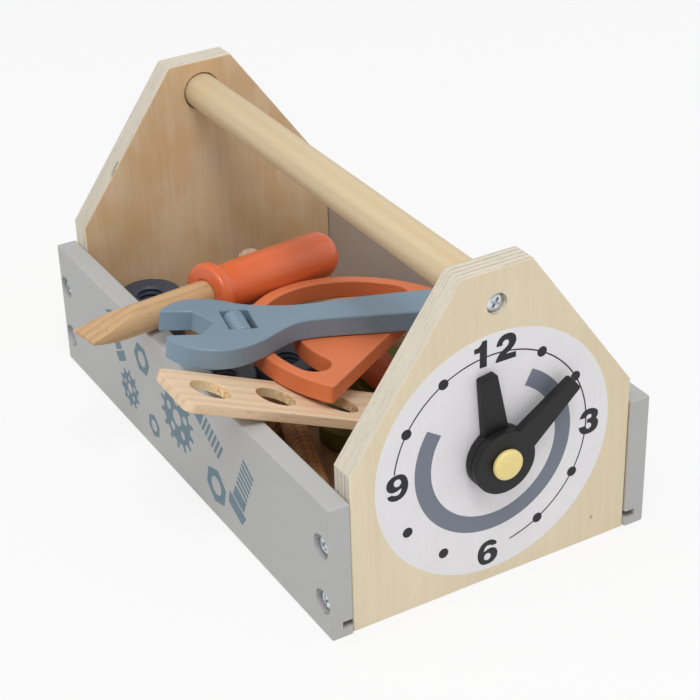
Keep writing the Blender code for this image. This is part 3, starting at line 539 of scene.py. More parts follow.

# the end boards' inner faces take a darker, warmer ply than their outer faces: partly the inner
# veneer's own colour, partly painted shade for the dim inside of the box; the warm patches are the
# wood's own
shadedInnerPly = plyFace("birchPlyInside", box["innerShadedPale"], box["innerShadedDark"], flecks=0.06,
                   warm=box["innerWarm"])
for end, own in box["ends"].items():
    side, node = own["side"], end + "_end_panel"
    outer = boxMiddle.x * 1000 + side * box["endOuter"]
    inner = outer - side * box["endThickness"]
    start, ply = min(inner, outer), box["endThickness"] / box["plyCount"]
    outerPly = plyFace("birchPly%sFace" % end.capitalize(), box["plyPale"], box["plyDark"],
                       spot=own["spot"])
    edgePly, slopePly = (
        plyEdge("birchPly%s%s" % (kind, end.capitalize()), box["edgePale"], box["edgeDark"], start,
                ply * share, lines, own["splits"], abs(inner - start) - box["splitDepth"])
        for kind, share, lines in (
            ("Edge", 1, own["lines"]), ("Slope", box["slopePly"], box["slopeLines"])))
    bm = cadShape(node)
    # the bore for the dowel is a loose fit, so a dark rim shows round it
    for vert in bm.verts:
        arm = Vector((vert.co.y, vert.co.z - box["handleHeight"]))
        if box["boreFrom"] < arm.length < box["boreTo"]:
            arm *= box["bore"] / arm.length
            vert.co.y, vert.co.z = arm.x, arm.y + box["handleHeight"]

    def faceKind(face):
        out = face.normal.x * side
        if abs(out) > 0.75:
            return 0 if out > 0 else 1
        return 3 if 0.15 < face.normal.z < 0.95 else 2

    slotFaces(bm, faceKind)
    addPiece(end + "_end_board", bm, upright, [outerPly, shadedInnerPly, edgePly, slopePly], "box", node,
             sharp=38, flat=True)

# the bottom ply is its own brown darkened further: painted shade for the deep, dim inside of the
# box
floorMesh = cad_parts["bottom_panel"].data
floorMesh.materials.clear()
floorMesh.materials.append(plyFace("thinPlyFloorPaintedShade", box["floorShadedPale"], box["floorShadedDark"], flecks=0.3))

beech = solidWood(
    "beechDowel", box["dowelPale"], box["dowelDark"], axis=2, rings=5.5, contrast=0.22,
    roughness=0.5, fibre=0.012, pores=0.12, wobble=0.8, middle=(26, -12))
half, radius = box["endOuter"] - box["endThickness"] + box["handleBite"], box["handleRadius"]
bm = turnedShape([(0, -half), (radius, -half), (radius, 0), (radius, half), (0, half)],
                 steps=80, ease=0.6, limit=40)
addPiece("handle_rod", bm, layAt((0, 0, box["handleHeight"]), (0, 1, 0), (1, 0, 0)), beech, "box",
         "handle_dowel")
print("stage: box")

# Screws.

screw = dict(
    headRadius=4.5, headHeight=2.4, shankRadius=1.9, shankLength=26, point=4,
    # the pan head's outline, as shares of its radius and height
    pan=((1, 0), (1, 0.38), (0.93, 0.68), (0.76, 0.9), (0.45, 0.985), (0, 1)),
    # the recess narrows to shares of its length and width on the way down
    crossLength=5.8, crossWidth=1.4, crossDepth=1.6, crossFoot=(0.45, 0.75), overrun=0.6,
    sink=1.3, low=16.5, high=44.5, turns=(20, 62, 35, 80, 8, 47, 71, 28, 55, 12),
)


def crossedHead():
    # A screw with a pan head. Two tapered blades cut the crossed recess.
    radius, tall, shank, length = pick(screw, "headRadius headHeight shankRadius shankLength")
    body = meshObject("screwHead", turnedShape(
        [(0, -length), (shank, screw["point"] - length), (shank, 0)]
        + [(radius * out, tall * up) for out, up in screw["pan"]], steps=48))
    blades = []
    for turn in (0, pi / 2):
        blade = bmesh.new()
        bmesh.ops.create_cube(blade, size=1)
        for vert in blade.verts:
            lower = vert.co.z < 0
            along, across = screw["crossFoot"] if lower else (1, 1)
            vert.co.x *= screw["crossLength"] * along
            vert.co.y *= screw["crossWidth"] * across
            vert.co.z = tall - screw["crossDepth"] if lower else tall + screw["overrun"]
        bmesh.ops.rotate(blade, verts=blade.verts, matrix=Matrix.Rotation(turn, 3, "Z"))
        blades.append(meshObject("crossBlade", blade))
        settle(body.modifiers.new("cross", "BOOLEAN"), operation="DIFFERENCE", solver="EXACT",
               object=blades[-1])
    bpy.context.view_layer.update()
    made = finalMesh(body)
    for helper in blades + [body]:
        bpy.data.objects.remove(helper)
    return made


zinc = zincSteel("zincScrew")
headMesh = crossedHead()
depth = screw["headHeight"] + screw["sink"]
screwPlaces = []
for facing, board in ((-1, "front"), (1, "rear")):
    for end, own in box["ends"].items():
        for level in ("low", "high"):
            screwPlaces.append(("screw_%s_%s_%s" % (board, end, level), (
                own["side"] * (box["endOuter"] - box["endThickness"] / 2),
                facing * (box["sideFace"] + box["sideThickness"] - depth), screw[level]),
                (0, facing, 0)))
for end, own in box["ends"].items():
    screwPlaces.append(("handle_screw_" + end, (
        own["side"] * (box["endOuter"] - depth), 0, box["handleHeight"]), (own["side"], 0, 0)))
for (node, at, out), turn in zip(screwPlaces, screw["turns"]):
    bm = bmeshOf(headMesh)
    bmesh.ops.rotate(bm, verts=bm.verts, matrix=Matrix.Rotation(radians(turn), 3, "Z"))
    addPiece(node + "_zinc", bm, layAt(at, (0, 0, 1), out), zinc, "box", node, sharp=28)
print("stage: screws")

# The play clock.

clock = dict(
    height=64.2, face=137, dialRadius=58.4, dotRadius=2.4, dotCircle=48.1, dotMiddle=(-1.4, 0.5),
    dotHours=(1, 2, 4, 5, 7, 8, 10, 11), lineWidth=0.62, lineEnds=(-82, 168.5), ringInner=31,
    ringOuter=38.9, ringMiddle=(-0.5, 1.4), ringEnds=(-57, -331.5),
    # each layer's thickness, and the height of its top over the panel
    layers=dict(disc=(0.16, 0.06), ring=(0.06, 0.1), line=(0.05, 0.11), mark=(0.06, 0.13)),
    # each numeral fills (left, right, low, high), as measured from the dial's middle
    numerals=(("12", "one", (-10.8, -4.65, 44, 56.3)), ("12", "two", (-0.4, 9.6, 44, 56.3)),
              ("3", "three", (43.1, 53.4, -6.9, 5.7)), ("6", "six", (-8.1, 2.1, -55.8, -43.4)),
              ("9", "nine", (-52.9, -42.5, -5.7, 6.8))),
    white=paint(235, 233, 235), ring=paint(118, 125, 138), ink=paint(31, 31, 34),
    handPaint=paint(26, 26, 27),
    handThickness=3.95, handChamfer=0.5, hub=14.8, corner=0.8, bore=4.35,
    # body, lift, length, width at the hub and at the tip, degrees from the 12
    hands=(("hour_hand", 0.3, 41.2, 12, 8.4, -8.4), ("minute_hand", 4.4, 44.3, 12.8, 7.8, 52)),
    pinPale=paint(244, 224, 152), pinDark=paint(232, 208, 128), pinShaft=4, pinHead=7,
    pinReach=8.5,
    # the pin head's outline: share of its radius, height over the shaft's end
    pinOutline=((0.95, 0), (1, 0.5), (1, 1.6), (0.975, 2.1), (0.91, 2.45), (0.8, 2.62),
                (0.4, 2.76), (0, 2.8)),
)
# bold numerals in thousandths of their box: outline, the corners that stay sharp, and an eye
numeralRims = dict(
    one=(((1000, 0), (1000, 1000), (620, 1000), (560, 920), (460, 860), (300, 800), (0, 780),
          (0, 600), (440, 600), (440, 0)), (0, 1, 2, 6, 7, 8, 9), None),
    two=(((0, 0), (1000, 0), (1000, 215), (500, 230), (680, 315), (870, 440), (975, 570),
          (1000, 710), (940, 865), (785, 965), (555, 1000), (320, 965), (150, 855), (55, 710),
          (35, 595), (320, 595), (335, 685), (390, 750), (500, 775), (600, 740), (640, 660),
          (590, 550), (430, 450), (210, 325), (70, 170), (10, 60)), (0, 1, 2, 3, 14, 15), None),
    three=(((30, 680), (360, 670), (390, 730), (490, 775), (610, 750), (645, 680), (590, 605),
            (420, 590), (420, 435), (550, 425), (635, 355), (630, 260), (520, 190), (405, 235),
            (335, 350), (0, 350), (60, 190), (200, 60), (450, 0), (735, 25), (935, 140),
            (1000, 330), (965, 460), (880, 530), (960, 650), (950, 820), (790, 940), (530, 1000),
            (275, 965), (115, 835)), (0, 1, 7, 8, 14, 15, 23), None),
    six=(((960, 745), (925, 855), (775, 960), (540, 1000), (275, 940), (100, 790), (10, 590),
          (10, 360), (100, 155), (275, 30), (500, 0), (750, 40), (940, 175), (1000, 360),
          (940, 525), (775, 630), (560, 640), (400, 590), (310, 565), (325, 650), (400, 750),
          (520, 795), (670, 765), (745, 725)), (0, 18, 23), (490, 320, 170, 148)),
)
outline, corners, eye = numeralRims["six"]
numeralRims["nine"] = ([(1000 - x, 1000 - y) for x, y in outline], corners,
                       (1000 - eye[0], 1000 - eye[1], *eye[2:]))


def onDial(lift):
    # Local X is across the dial to the right, Y up towards the 12, Z out of the face.
    return layAt((clock["face"] + lift, 0, clock["height"]), (0, 1, 0), (1, 0, 0))


def clockAngle(degrees):
    # Degrees from the 12, turning as the hands do, as an angle in the dial's X and Y.
    return pi / 2 - radians(degrees)


def addPrint(name, rims, layer, look):
    thickness, lift = clock["layers"][layer]
    addPiece(name, flatShape(rims, thickness), onDial(lift), look)


def arcBand(inner, outer, ends, count, middle):
    start, stop = (clockAngle(turn) for turn in ends)
    return (ringPoints(outer, count, middle, start, stop)
            + ringPoints(inner, count, middle, stop, start))


def numeralShape(kind, reach):
    outline, corners, eye = numeralRims[kind]
    rims = [smoothRim(outline, set(corners), 4)]
    if eye:
        rims.append([(eye[0] + eye[2] * x, eye[1] + eye[3] * y) for x, y in ringPoints(1, 28)])
    left, right, low, high = reach
    return [[(left + x * (right - left) / 1000, low + y * (high - low) / 1000) for x, y in rim]
            for rim in rims]


dialWhite = printedInk("dialWhite", clock["white"], 0.5)
dialInk = printedInk("dialInk", clock["ink"], 0.5)
dialGrey = printedInk("dialGreyRing", clock["ring"], 0.5)
circle, half = clock["dotCircle"], clock["lineWidth"] / 2
addPrint("dial_disc", [ringPoints(clock["dialRadius"], 160)], "disc", dialWhite)
addPrint("dial_grey_ring", [arcBand(
    clock["ringInner"], clock["ringOuter"], clock["ringEnds"], 120, clock["ringMiddle"])],
    "ring", dialGrey)
addPrint("dial_minute_line", [arcBand(
    circle - half, circle + half, clock["lineEnds"], 140, clock["dotMiddle"])], "line", dialInk)
addPrint("dial_dots", [
    ringPoints(clock["dotRadius"], 28, around(clock["dotMiddle"], circle, clockAngle(hour * 30)))
    for hour in clock["dotHours"]], "mark", dialInk)
for label, kind, reach in clock["numerals"]:
    addPrint("dial_numeral_%s_%s" % (label, kind), numeralShape(kind, reach), "mark", dialInk)


def handShape(length, wide, tip):
    hub, corner, thick, half = *pick(clock, "hub corner handThickness"), tip / 2
    reach = asin(wide / 2 / hub)
    rim = ringPoints(hub, 72, (0, 0), pi / 2 + reach, pi / 2 + tau - reach)
    rim += [(half, length - corner), (half - corner, length), (corner - half, length),
            (-half, length - corner)]
    bm = flatShape([rim, ringPoints(clock["bore"], 32)], thick, ease=clock["handChamfer"], steps=1)
    bmesh.ops.translate(bm, verts=bm.verts, vec=(0, 0, thick))
    return bm


handBlack = paintedWood("blackHandPaint", clock["handPaint"], 0.5, fibre=0.1, axis=1, cloud=0.16,
                        specular=0.35)
for body, lift, length, wide, tip, turn in clock["hands"]:
    pose = onDial(lift) @ Matrix.Rotation(-radians(turn), 4, "Z")
    addPiece(body + "_black", handShape(length, wide, tip), pose, handBlack, body, body,
             sharp=25, flat=True)

pinYellow = solidWood("varnishedPin", clock["pinPale"], clock["pinDark"], axis=2, rings=3,
                      contrast=0.16, roughness=0.34, fibre=0.02, wobble=1)
shaft, radius, reach = pick(clock, "pinShaft pinHead pinReach")
bm = turnedShape([(0, -reach), (shaft, -reach), (shaft, reach)]
                 + [(radius * out, reach + up) for out, up in clock["pinOutline"]])
addPiece("clock_pin_yellow", bm, onDial(0), pinYellow, "box", "clock_pin", sharp=50)
print("stage: clock")

# Print on the front board: cogs, nuts and bolts.

prints = dict(
    ink=paint(104, 128, 140), face=-80.6, lift=0.04, thickness=0.06,
    # X and Z of the middle, then radius and teeth, radius and turn, or length and turn
    cog=((-4, 34, 17, 14), (-58, 22, 10.5, 10)),
    nut=((-40, 47.5, 8.5, 0), (34, 18, 10, 15), (-32, 14.5, 6.5, 20)),
    bolt=((26, 47, 34, -28), (60, 30, 36, 64), (-70, 46, 26, 118)),
    # shares of the radius, and the turn of a cog's side holes
    cogHole=0.25, sideHole=0.13, sideCircle=0.52, sideTurn=0.3, nutHole=0.48, nutCorner=0.12,
    # one tooth of a cog: share of the way to the next one, share of the radius
    tooth=((0, 0.8), (0.14, 0.8), (0.24, 1), (0.5, 1), (0.6, 0.8)),
)


def cogRims(x, z, radius, teeth):
    rim = [around((x, z), radius * reach, tau * (i + share) / teeth)
           for i in range(teeth) for share, reach in prints["tooth"]]
    hole, side, circle, turn = pick(prints, "cogHole sideHole sideCircle sideTurn")
    holes = [ringPoints(radius * side, 20, around((x, z), radius * circle, tau * i / 5 + turn))
             for i in range(5)]
    return [rim, ringPoints(radius * hole, 32, (x, z))] + holes


def nutRims(x, z, radius, turn):
    corners = [around((x, z), radius, radians(60 * i + turn)) for i in range(6)]
    return [roundedRim(corners, radius * prints["nutCorner"], 4),
            ringPoints(radius * prints["nutHole"], 32, (x, z))]


def boltRims(x, z, length, turn):
    # A bolt from the side in shares of its length: head, plain part, thread of slanted bars.
    half, plain, gap, shaft = (length * share for share in (0.5, 0.2, 0.055, 0.15))
    neck, face, rim = plain - half, length * 0.19, length * 0.23

    def bar(start, width, slant):
        return [(start, -shaft), (start + width, -shaft), (start + width + slant, shaft),
                (start + slant, shaft)]

    start = neck + gap * 0.6
    shapes = [[(-half, -face), (neck, -rim), (neck, rim), (-half, face)], bar(start, plain, 0)]
    start += plain + gap * 0.6
    while start < half - gap:
        shapes.append(bar(start, gap, gap * 0.5))
        start += gap * 1.7
    spin = Matrix.Rotation(radians(turn), 2)
    return [[(x + p.x, z + p.y) for p in (spin @ Vector(q) for q in shape)] for shape in shapes]


panelInk = printedInk("blueGreyPrint", prints["ink"], 0.55)
onFront = layAt((0, prints["face"] - prints["lift"], 0), (1, 0, 0), (0, -1, 0))
for kind, rims in (("cog", cogRims), ("nut", nutRims), ("bolt", boltRims)):
    for i, place in enumerate(prints[kind]):
        addPiece("print_%s_%d" % (kind, i + 1), flatShape(rims(*place), prints["thickness"]),
                 onFront, panelInk)
print("stage: print")

# Strips with holes.

strip = dict(
    width=36, thickness=4.8, hole=9.2, spacing=32.6, margin=18.8, farMargin=20.8, corner=4.5,
    ease=0.5,
    # a hole's wall reaches this far out; it is torn from this share of the radius, over that one
    wallReach=0.3, tornFrom=0.35, tornOver=0.3,
    pale=paint(234, 209, 178), dark=paint(207, 170, 130),
    drilledPale=paint(240, 214, 172), drilledDark=paint(196, 152, 100), olive=paint(96, 92, 34),
    long=dict(holes=4, at=(46.93, -103.58, 85.97), x=(0.06751, 0.9193, -0.38773),
              z=(-0.02036, 0.38981, 0.92067)),
    short=dict(holes=2, at=(24.15, 39, 13), x=(-1, 0, 0), z=(0, 0, 1)),
)


def stripShape(count):
    hole, spacing, margin, half = *pick(strip, "hole spacing margin"), strip["width"] / 2
    length = margin + strip["farMargin"] + (count - 1) * spacing
    middles = [margin + i * spacing for i in range(count)]
    rim = roundedRim(rectangle(0, length, -half, half), strip["corner"], 9)
    bm = flatShape([rim] + [ringPoints(hole, 56, (middle, 0)) for middle in middles],
                   strip["thickness"], ease=strip["ease"])

    def holeWall(face):
        spot = face.calc_center_median().xy
        return int(abs(face.normal.z) <= 0.4 and any(
            (spot - Vector((middle, 0))).length < hole + strip["wallReach"] for middle in middles))

    slotFaces(bm, holeWall)
    # torn is 0 where the drill ran along the fibres, and 1 across them
    torn = bm.verts.layers.float.new("torn")
    for vert in bm.verts:
        share = (vert.co.x - margin) / spacing
        aside = abs(share - round(share)) * spacing / hole
        vert[torn] = min(1, max(0, (aside - strip["tornFrom"]) / strip["tornOver"]))
    return bm


plankWood = solidWood("paleStripWood", strip["pale"], strip["dark"], rings=6, contrast=0.3,
                      fibre=0.035, pores=0.35, wobble=1.2, middle=(14, -26))
holeWood = sawnWood("drilledStripWood", strip["drilledPale"], strip["drilledDark"])
olivePaint = paintedWood("olivePaint", strip["olive"], 0.55, fibre=0.03)
for key, looks, slot in (("long", [plankWood, holeWood], "pine"),
                         ("short", [olivePaint, olivePaint], "olive_paint")):
    addPiece(key + "_strip_board", stripShape(strip[key]["holes"]), lay(strip[key]), looks,
             key + "_strip", key + "_strip", flat=True)
print("stage: strips")

# Hammer.

hammer = dict(
    headRadius=15.7, headLength=50, chamfer=2.5, neck=7.4, inHead=1.2,
    # the handle from the neck to its end: radius, distance from the head's middle
    handle=((7.4, 20.2), (7.75, 21.6), (8.37, 25.6), (8.865, 27.6), (9, 30.8), (9, 121.4),
            (8.73, 123.4), (7.74, 125.1), (5.58, 125.85), (0, 126)),
    at=(99.7, 29.71, 23.9), across=(-0.99992, 0, -0.0127), along=(0, 1, 0),
    slate=paint(62, 71, 84), orange=paint(222, 110, 64),
)
slatePaint = paintedWood("slatePaint", hammer["slate"], 0.45, axis=2, cloud=0.07, specular=0.4)
orangePaint = paintedWood("orangePaint", hammer["orange"], 0.36, fibre=0.012, axis=2, cloud=0.035)
at, across, along, radius, chamfer = pick(hammer, "at across along headRadius chamfer")
half, shoulder = hammer["headLength"] / 2, radius - hammer["inHead"]
bm = turnedShape(
    [(0, -half)] + easedRound(radius, -half, half, ((chamfer, 0), (0, chamfer)))
    + [(0, half)], steps=80, ease=0.5)
addPiece("hammer_block", bm, layAt(at, across, along), slatePaint, "hammer", "hammer_head")
bm = turnedShape([(0, shoulder), (hammer["neck"], shoulder), *hammer["handle"]])
addPiece("hammer_grip", bm, layAt(at, along, across), orangePaint, "hammer", "hammer_handle",
         sharp=50)
print("stage: hammer")

# Nuts and bolts.

nut = dict(
    radius=16.5, thickness=11, bore=6.35, pitch=3, depth=0.8, mouth=1.3, lip=(0.9, 0.35),
    threadEnds=(1, 0.6),
    # the rounding of an edge: steps inwards and along
    edge=((1.6, 0), (0.75, 0.22), (0.22, 0.75), (0, 1.6)),
    places=dict(
        stacked_nut_1=(-106.6, -45.5, 8.2), stacked_nut_2=(-106.6, -45.5, 19.5),
        stacked_nut_3=(-106.6, -45.5, 30.8), front_nut=(-49.8, -33.99, 8.2),
        middle_nut=(-47.06, 0, 8.2), olive_nut=(19, 0, 8.2)),
)
bolts = dict(
    head=14, headHeight=10, root=4.85, pitch=3, turnSteps=40, tip=0.6, threadStart=1, threadRest=3,
    edge=((1.2, 0), (0.3, 0.35), (0, 1.2)),
    # one turn of the thread in section: radius, height as a share of the pitch
    wedge=((4.35, 0), (6, 0.36), (6, 0.56), (4.35, 0.92)),
    standing=dict(length=36, pale=paint(217, 190, 166), dark=paint(182, 150, 124),
                  at=(-97, 7.98, 18.2), x=(1, 0, 0), z=(0, 0, 1)),
    # the lying bolt's wood is darker than the standing bolt's: painted shade for the dim bottom of
    # the box where it lies
    lying=dict(length=54, pale=paint(192, 149, 109), dark=paint(142, 99, 65),
               at=(2.99, -26.04, 21.87), x=(0.14156, -0.03793, 0.9892),
               z=(0.9555, -0.25602, -0.14655)),
)


def nutShape():
    wide, tall, bore, depth, pitch, mouth = pick(nut, "radius thickness bore depth pitch mouth")
    (lip, fall), (first, last) = pick(nut, "lip threadEnds")
    profile = [(bore + mouth, 0), *easedRound(wide, 0, tall, nut["edge"]), (bore + mouth, tall),
               (bore + lip, tall - fall)]
    for i in range(int((tall - first - last) / pitch * 2)):
        profile.append((bore + (depth if i % 2 else 0), tall - first - i * pitch / 2))
    profile.append((bore + lip, fall))
    return turnedShape(profile, steps=72, closed=True)


def boltShape(length):
    head, tall, root, pitch, steps, tip = pick(bolts, "head headHeight root pitch turnSteps tip")
    bm = turnedShape([(0, -tall), *easedRound(head, -tall, 0, bolts["edge"]), (root, 0),
                      (root, length - tip), (root - tip, length), (0, length)])
    # the thread is a small wedge swept up round the shaft
    turns = int((length - bolts["threadRest"]) / pitch)
    thread = bmesh.new()
    start = thread.faces.new([
        thread.verts.new((radius, 0, bolts["threadStart"] + pitch * share))
        for radius, share in bolts["wedge"]])
    bmesh.ops.spin(
        thread, geom=[start, *start.edges, *start.verts], cent=(0, 0, 0), axis=(0, 0, 1),
        dvec=(0, 0, pitch / steps), angle=tau * turns, steps=steps * turns, use_merge=False,
        use_duplicate=False)
    bmesh.ops.recalc_face_normals(thread, faces=thread.faces)
    spare = bpy.data.meshes.new("thread")
    thread.to_mesh(spare)
    thread.free()
    bm.from_mesh(spare)
    bpy.data.meshes.remove(spare)
    return bm


for node, at in nut["places"].items():
    look, slot = (olivePaint, "olive_paint") if node == "olive_nut" else (slatePaint, "slate_paint")
    addPiece(node + "_round", nutShape(), layAt(at, (1, 0, 0), (0, 0, 1)), look, node, node,
             sharp=40)
# each bolt has its own copy of the wood; the lying bolt's darker copy is painted shade
for key in ("standing", "lying"):
    own = bolts[key]
    boltWood = solidWood(key + "BoltWood", own["pale"], own["dark"], axis=2, rings=3.6,
                         contrast=0.4, fibre=0.05, pores=0.4)
    addPiece(key + "_bolt_wood", boltShape(own["length"]), lay(own), boltWood, key + "_bolt",
             key + "_bolt", sharp=40)
print("stage: nuts and bolts")

# Protractor.

protractor = dict(
    radius=62, offset=5.3, thickness=9, slotOuter=56, slotInner=39, slotStart=15.5, ease=0.9,
    corner=1.6, colour=paint(217, 119, 73), at=(26.39, 15.86, 62.64),
    x=(-0.58447, 0.80352, -0.11293), z=(0, 0.13917, 0.99027),
)


def protractorShape():
    radius, offset, ease = pick(protractor, "radius offset corner")
    outer, inner = pick(protractor, "slotOuter slotInner")
    corner, centre = asin(offset / radius), (0, offset)
    reach = radius * cos(corner)
    arc = ringPoints(radius, 120, centre, -corner, pi + corner)
    # the two ends of the straight edge are rounded in plan
    arc = roundedRim([(reach, 0, ease), *arc[2:-2], (-reach, 0, ease)], 0)
    start = radians(protractor["slotStart"])
    stop = pi - start
    slot = []
    for first, last, side, count, turn in (
            (start, stop, outer, 90, 0), (stop, start, inner, 80, pi)):
        slot += ringPoints(side, count, centre, first, last)
        slot += ringPoints((outer - inner) / 2, 20, around(centre, (outer + inner) / 2, last),
                           last + turn, last + turn + pi)[1:-1]
    return flatShape([arc, slot], protractor["thickness"], ease=protractor["ease"], steps=3)


boardOrange = paintedWood("protractorOrange", protractor["colour"], 0.46, cloud=0.035)
addPiece("protractor_board", protractorShape(), lay(protractor), boardOrange, "protractor",
         "protractor", flat=True)
print("stage: protractor")

# Screwdriver.

driver = dict(
    blade=7.3, bladeLength=71, tip=1.4, tipLength=29, root=(1, 0.6), ease=0.25,
    grip=11.9, gripLength=80, capIn=7.5, capLength=8,
    at=(-40.15, -45.09, 71.36), x=(0.97122, 0.22178, -0.08682), z=(-0.22917, 0.96948, -0.08716),
    # the handle up to its rounded end: radius, distance from the blade's root
    handle=((0, 0.6), (7.6, 0.6), (8, 0), (12.5, 0), (13.6, 0.25), (14.4, 0.85), (14.8, 1.7),
            (14.9, 2.6), (14.9, 4.6), (14.65, 5.5), (14, 6.3), (13, 7), (11.7, 7.7), (11.2, 8.5),
            (11.25, 9.6), (11.55, 13), (11.85, 19), (11.9, 27), (11.9, 60), (11.9, 72)),
    pale=paint(208, 172, 130), dark=paint(166, 124, 84), orange=paint(221, 104, 55),
)


def bladeShape():
    radius, length, tip, tipLength = pick(driver, "blade bladeLength tip tipLength")
    rise, step = driver["root"]
    bm = turnedShape([(0, -length), (radius, -length), (radius, -rise), (radius - step, rise),
                      (0, rise)], steps=72)
    for side in (-1, 1):
        out = Vector((0, side * tipLength, tip / 2 - radius)).normalized()
        cut = bmesh.ops.bisect_plane(
            bm, geom=bm.verts[:] + bm.edges[:] + bm.faces[:], plane_no=out, clear_outer=True,
            plane_co=(0, side * tip / 2, -length))
        rim = [edge for edge in cut["geom_cut"] if isinstance(edge, bmesh.types.BMEdge)]
        bmesh.ops.contextual_create(bm, geom=rim)
    bmesh.ops.recalc_face_normals(bm, faces=bm.faces)
    easeEdges(bm, driver["ease"], 20, segments=2)
    return bm


def gripShape():
    grip, end, capIn, capLength = pick(driver, "grip gripLength capIn capLength")
    profile = list(driver["handle"])
    for i in range(1, 9):
        angle = pi / 2 * i / 8
        profile.append((grip - capIn * (1 - cos(angle)), end - capLength * (1 - sin(angle))))
    return turnedShape(profile + [(0, end)], steps=88)


bladeWood = solidWood("bareBladeWood", driver["pale"], driver["dark"], axis=2, rings=4.6,
                      contrast=0.3, roughness=0.55, pores=0.3, wobble=1, middle=(16, -9))
addPiece("screwdriver_blade_wood", bladeShape(), lay(driver), bladeWood, "screwdriver",
         "screwdriver_blade", sharp=30, flat=True)
glossOrange = paintedWood("glossOrange", driver["orange"], 0.3, fibre=0.01, axis=2, cloud=0.03,
                          coat=0.15)
addPiece("screwdriver_grip", gripShape(), lay(driver), glossOrange, "screwdriver",
         "screwdriver_handle", sharp=55)
print("stage: screwdriver")

# Adjustable wrench.

wrench = dict(
    length=152, width=52.9, thickness=10, ease=0.9, colour=paint(120, 142, 159),
    windowLength=19.3, windowWidth=13.4, windowCorner=0.7, window=(240.5, 558.6),
    worm=5.4, groove=0.8, grooveStep=0.02, ridges=6, wormPlay=0.3, pin=1.5, pinPlay=0.35, pinBite=3,
    at=(1.64, -87, 87.5), x=(0.21847, 0.96635, -0.13581), z=(0, 0.13917, 0.99027),
    wormPose=dict(at=(6.6, -51.7, 77.49), x=(0, 0.13917, 0.99027),
                  z=(-0.97584, 0.21634, -0.0304)),
    # one ridge: how far under the worm's radius, share of the way to the next one
    ridge=((0.2, 0.2), (0, 0.34), (0, 0.66), (0.2, 0.8)),
    # the outline and the window's middle are in thousandths of the length and the width
    outline=(
        (19, 779), (22, 820), (43, 881), (61, 928), (82, 964), (105, 987), (126, 1000),
        (155, 998), (184, 985), (211, 957), (233, 926), (253, 889), (277, 853), (305, 828),
        (347, 805), (406, 785), (471, 792), (520, 813), (570, 845), (634, 872), (699, 896),
        (765, 919), (832, 941), (905, 964), (960, 981), (986, 983), (999, 957), (1005, 900),
        (1006, 749), (1003, 588), (995, 531), (980, 510), (807, 512), (731, 501), (653, 492),
        (592, 492), (530, 484), (484, 475), (437, 454), (407, 423), (385, 386), (361, 337),
        (323, 250), (292, 178), (267, 127), (236, 74), (204, 32), (173, 8), (144, 0), (116, 8),
        (91, 30), (70, 57), (50, 91), (33, 132), (17, 189), (5, 250), (0, 297), (5, 335),
        (105, 318), (161, 522), (116, 751)),
)


def wrenchShape():
    def scaled(x, y):
        return (x / 1000 * wrench["length"], (y / 1000 - 0.5) * wrench["width"])

    points = [scaled(*point) for point in wrench["outline"]]
    # the first point and the last four are the corners of the jaws
    rim = smoothRim(points, {0, *range(len(points) - 4, len(points))}, 3)
    x, y = scaled(*wrench["window"])
    a, b = wrench["windowWidth"] / 2, wrench["windowLength"] / 2
    window = roundedRim(rectangle(x - a, x + a, y - b, y + b), wrench["windowCorner"], 4)
    return flatShape([rim, window], wrench["thickness"], ease=wrench["ease"], steps=3)


def wormShape():
    half = wrench["windowLength"] / 2 - wrench["wormPlay"]
    step = 2 * half / wrench["ridges"]
    crest, bore = wrench["worm"], wrench["pin"] + wrench["pinPlay"]
    root = crest - wrench["groove"]
    profile = [(bore, -half)]
    for i in range(wrench["ridges"]):
        start = i * step - half
        profile.append((root, start + wrench["grooveStep"]))
        profile += [(crest - under, start + step * share) for under, share in wrench["ridge"]]
    return turnedShape(profile + [(root, half), (bore, half)], steps=56, closed=True)


wrenchPaint = paintedWood("blueGreyWrenchPaint", wrench["colour"], 0.34, fibre=0.025, cloud=0.05)
wormPaint = paintedWood("wormPaint", wrench["colour"], 0.36, axis=2, cloud=0.05)
addPiece("wrench_board", wrenchShape(), lay(wrench), wrenchPaint, "wrench", "wrench_body",
         sharp=40, flat=True)
wormPose = lay(wrench["wormPose"])
addPiece("worm_roller", wormShape(), wormPose, wormPaint, "worm", "wrench_worm",
         sharp=50)
half, radius = wrench["windowLength"] / 2 + wrench["pinBite"], wrench["pin"]
bm = turnedShape([(0, -half), (radius, -half), (radius, half), (0, half)], steps=32, ease=0.15)
addPiece("worm_axle", bm, wormPose, zinc, "wrench", "worm_pin")
print("stage: wrench")

# Floor, light and camera.

studio = dict(
    floorColour=(0.78, 0.78, 0.78, 1), floorHalf=4, floorGlow=0.8, white=(1, 1, 1, 1),
    skyStrength=0.58,
    # each lamp's place from the box's middle in millimetres, its size in metres, and its watts
    lamps=(((700, -330, 1500), 0.7, 11.5), ((-250, -900, 1300), 1.4, 3.4),
           ((150, 1500, 650), 1.4, 2.6)),
    aim=(0, 0, 60), cameraAt=(673.28, -372.27, 499.57), right=(0.50685, 0.86164, -0.02587),
    up=(-0.42653, 0.27676, 0.86109), lens=96.6,
)

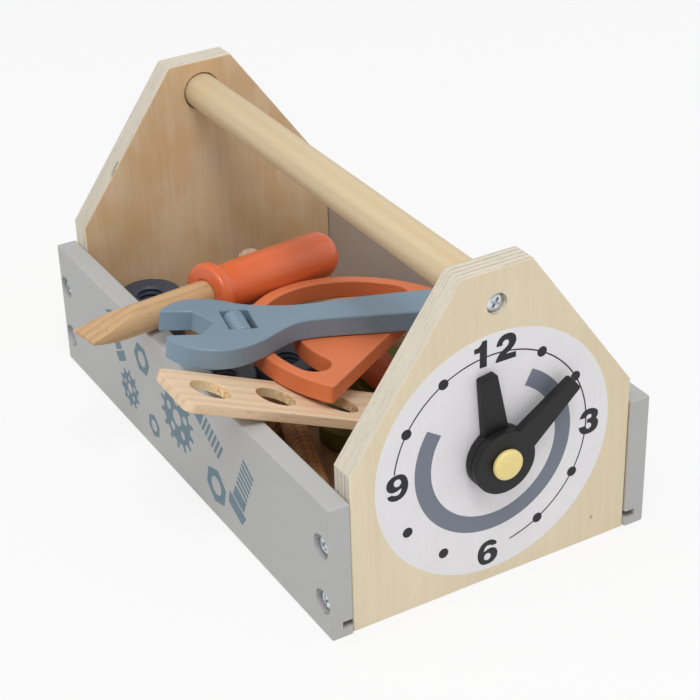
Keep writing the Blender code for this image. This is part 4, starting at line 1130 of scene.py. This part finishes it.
bm = bmesh.new()
bmesh.ops.create_grid(bm, x_segments=2, y_segments=2, size=studio["floorHalf"])
studioFloor = meshObject("studioFloor", bm)
paper = Finish("studioFloorPaper", 0.9, specular=0.1)
paper.fill(paper.shader, Base_Color=studio["floorColour"])
# the paper glows for the camera and for what mirrors it, so that it stays white
seen = paper.node("LightPath")
glow = paper.node("Emission", Color=studio["white"], Strength=1)
direct, mirror, through = (Dial(paper, seen.outputs["Is %s Ray" % kind])
                           for kind in ("Camera", "Glossy", "Transmission"))
facing = (direct + mirror + through).step("MINIMUM", direct + mirror + through, 1)
paper.mixInto(paper.tree.nodes["Material Output"], facing * studio["floorGlow"],
              paper.shader.outputs[0], glow.outputs[0])
studioFloor.data.materials.append(paper.material)

scene.world = bpy.data.worlds.new("studioRoom")
scene.world.use_nodes = True
room = Graph(scene.world.node_tree)
room.tree.nodes.clear()
soft, white = (room.node("Background", Color=studio["white"], Strength=strength).outputs[0]
               for strength in (studio["skyStrength"], 1))
room.mixInto(room.node("OutputWorld"), room.node("LightPath").outputs["Is Camera Ray"], soft, white)

for i, (at, size, watts) in enumerate(studio["lamps"]):
    lamp = bpy.data.lights.new("softLamp%d" % (i + 1), "AREA")
    settle(lamp, shape="DISK", size=size, energy=watts)
    start, end = (Vector(spot) * millimetre + boxMiddle for spot in (at, studio["aim"]))
    settle(linked("softLamp%d" % (i + 1), lamp), location=start,
           rotation_euler=(end - start).to_track_quat("-Z", "Y").to_euler())

lens = bpy.data.cameras.new("photoCamera")
settle(lens, lens=studio["lens"], sensor_width=36, sensor_fit="HORIZONTAL", clip_start=0.05,
       clip_end=20)
photoCamera = linked("photoCamera", lens)
right = Vector(studio["right"]).normalized()
up = Vector(studio["up"])
up = (up - right * up.dot(right)).normalized()
turn = Matrix((right, up, right.cross(up))).transposed().to_4x4()
photoCamera.matrix_world = Matrix.Translation(
    Vector(studio["cameraAt"]) * millimetre + boxMiddle) @ turn
scene.camera = photoCamera
scene.view_settings.view_transform = "Standard"
print("stage: studio")
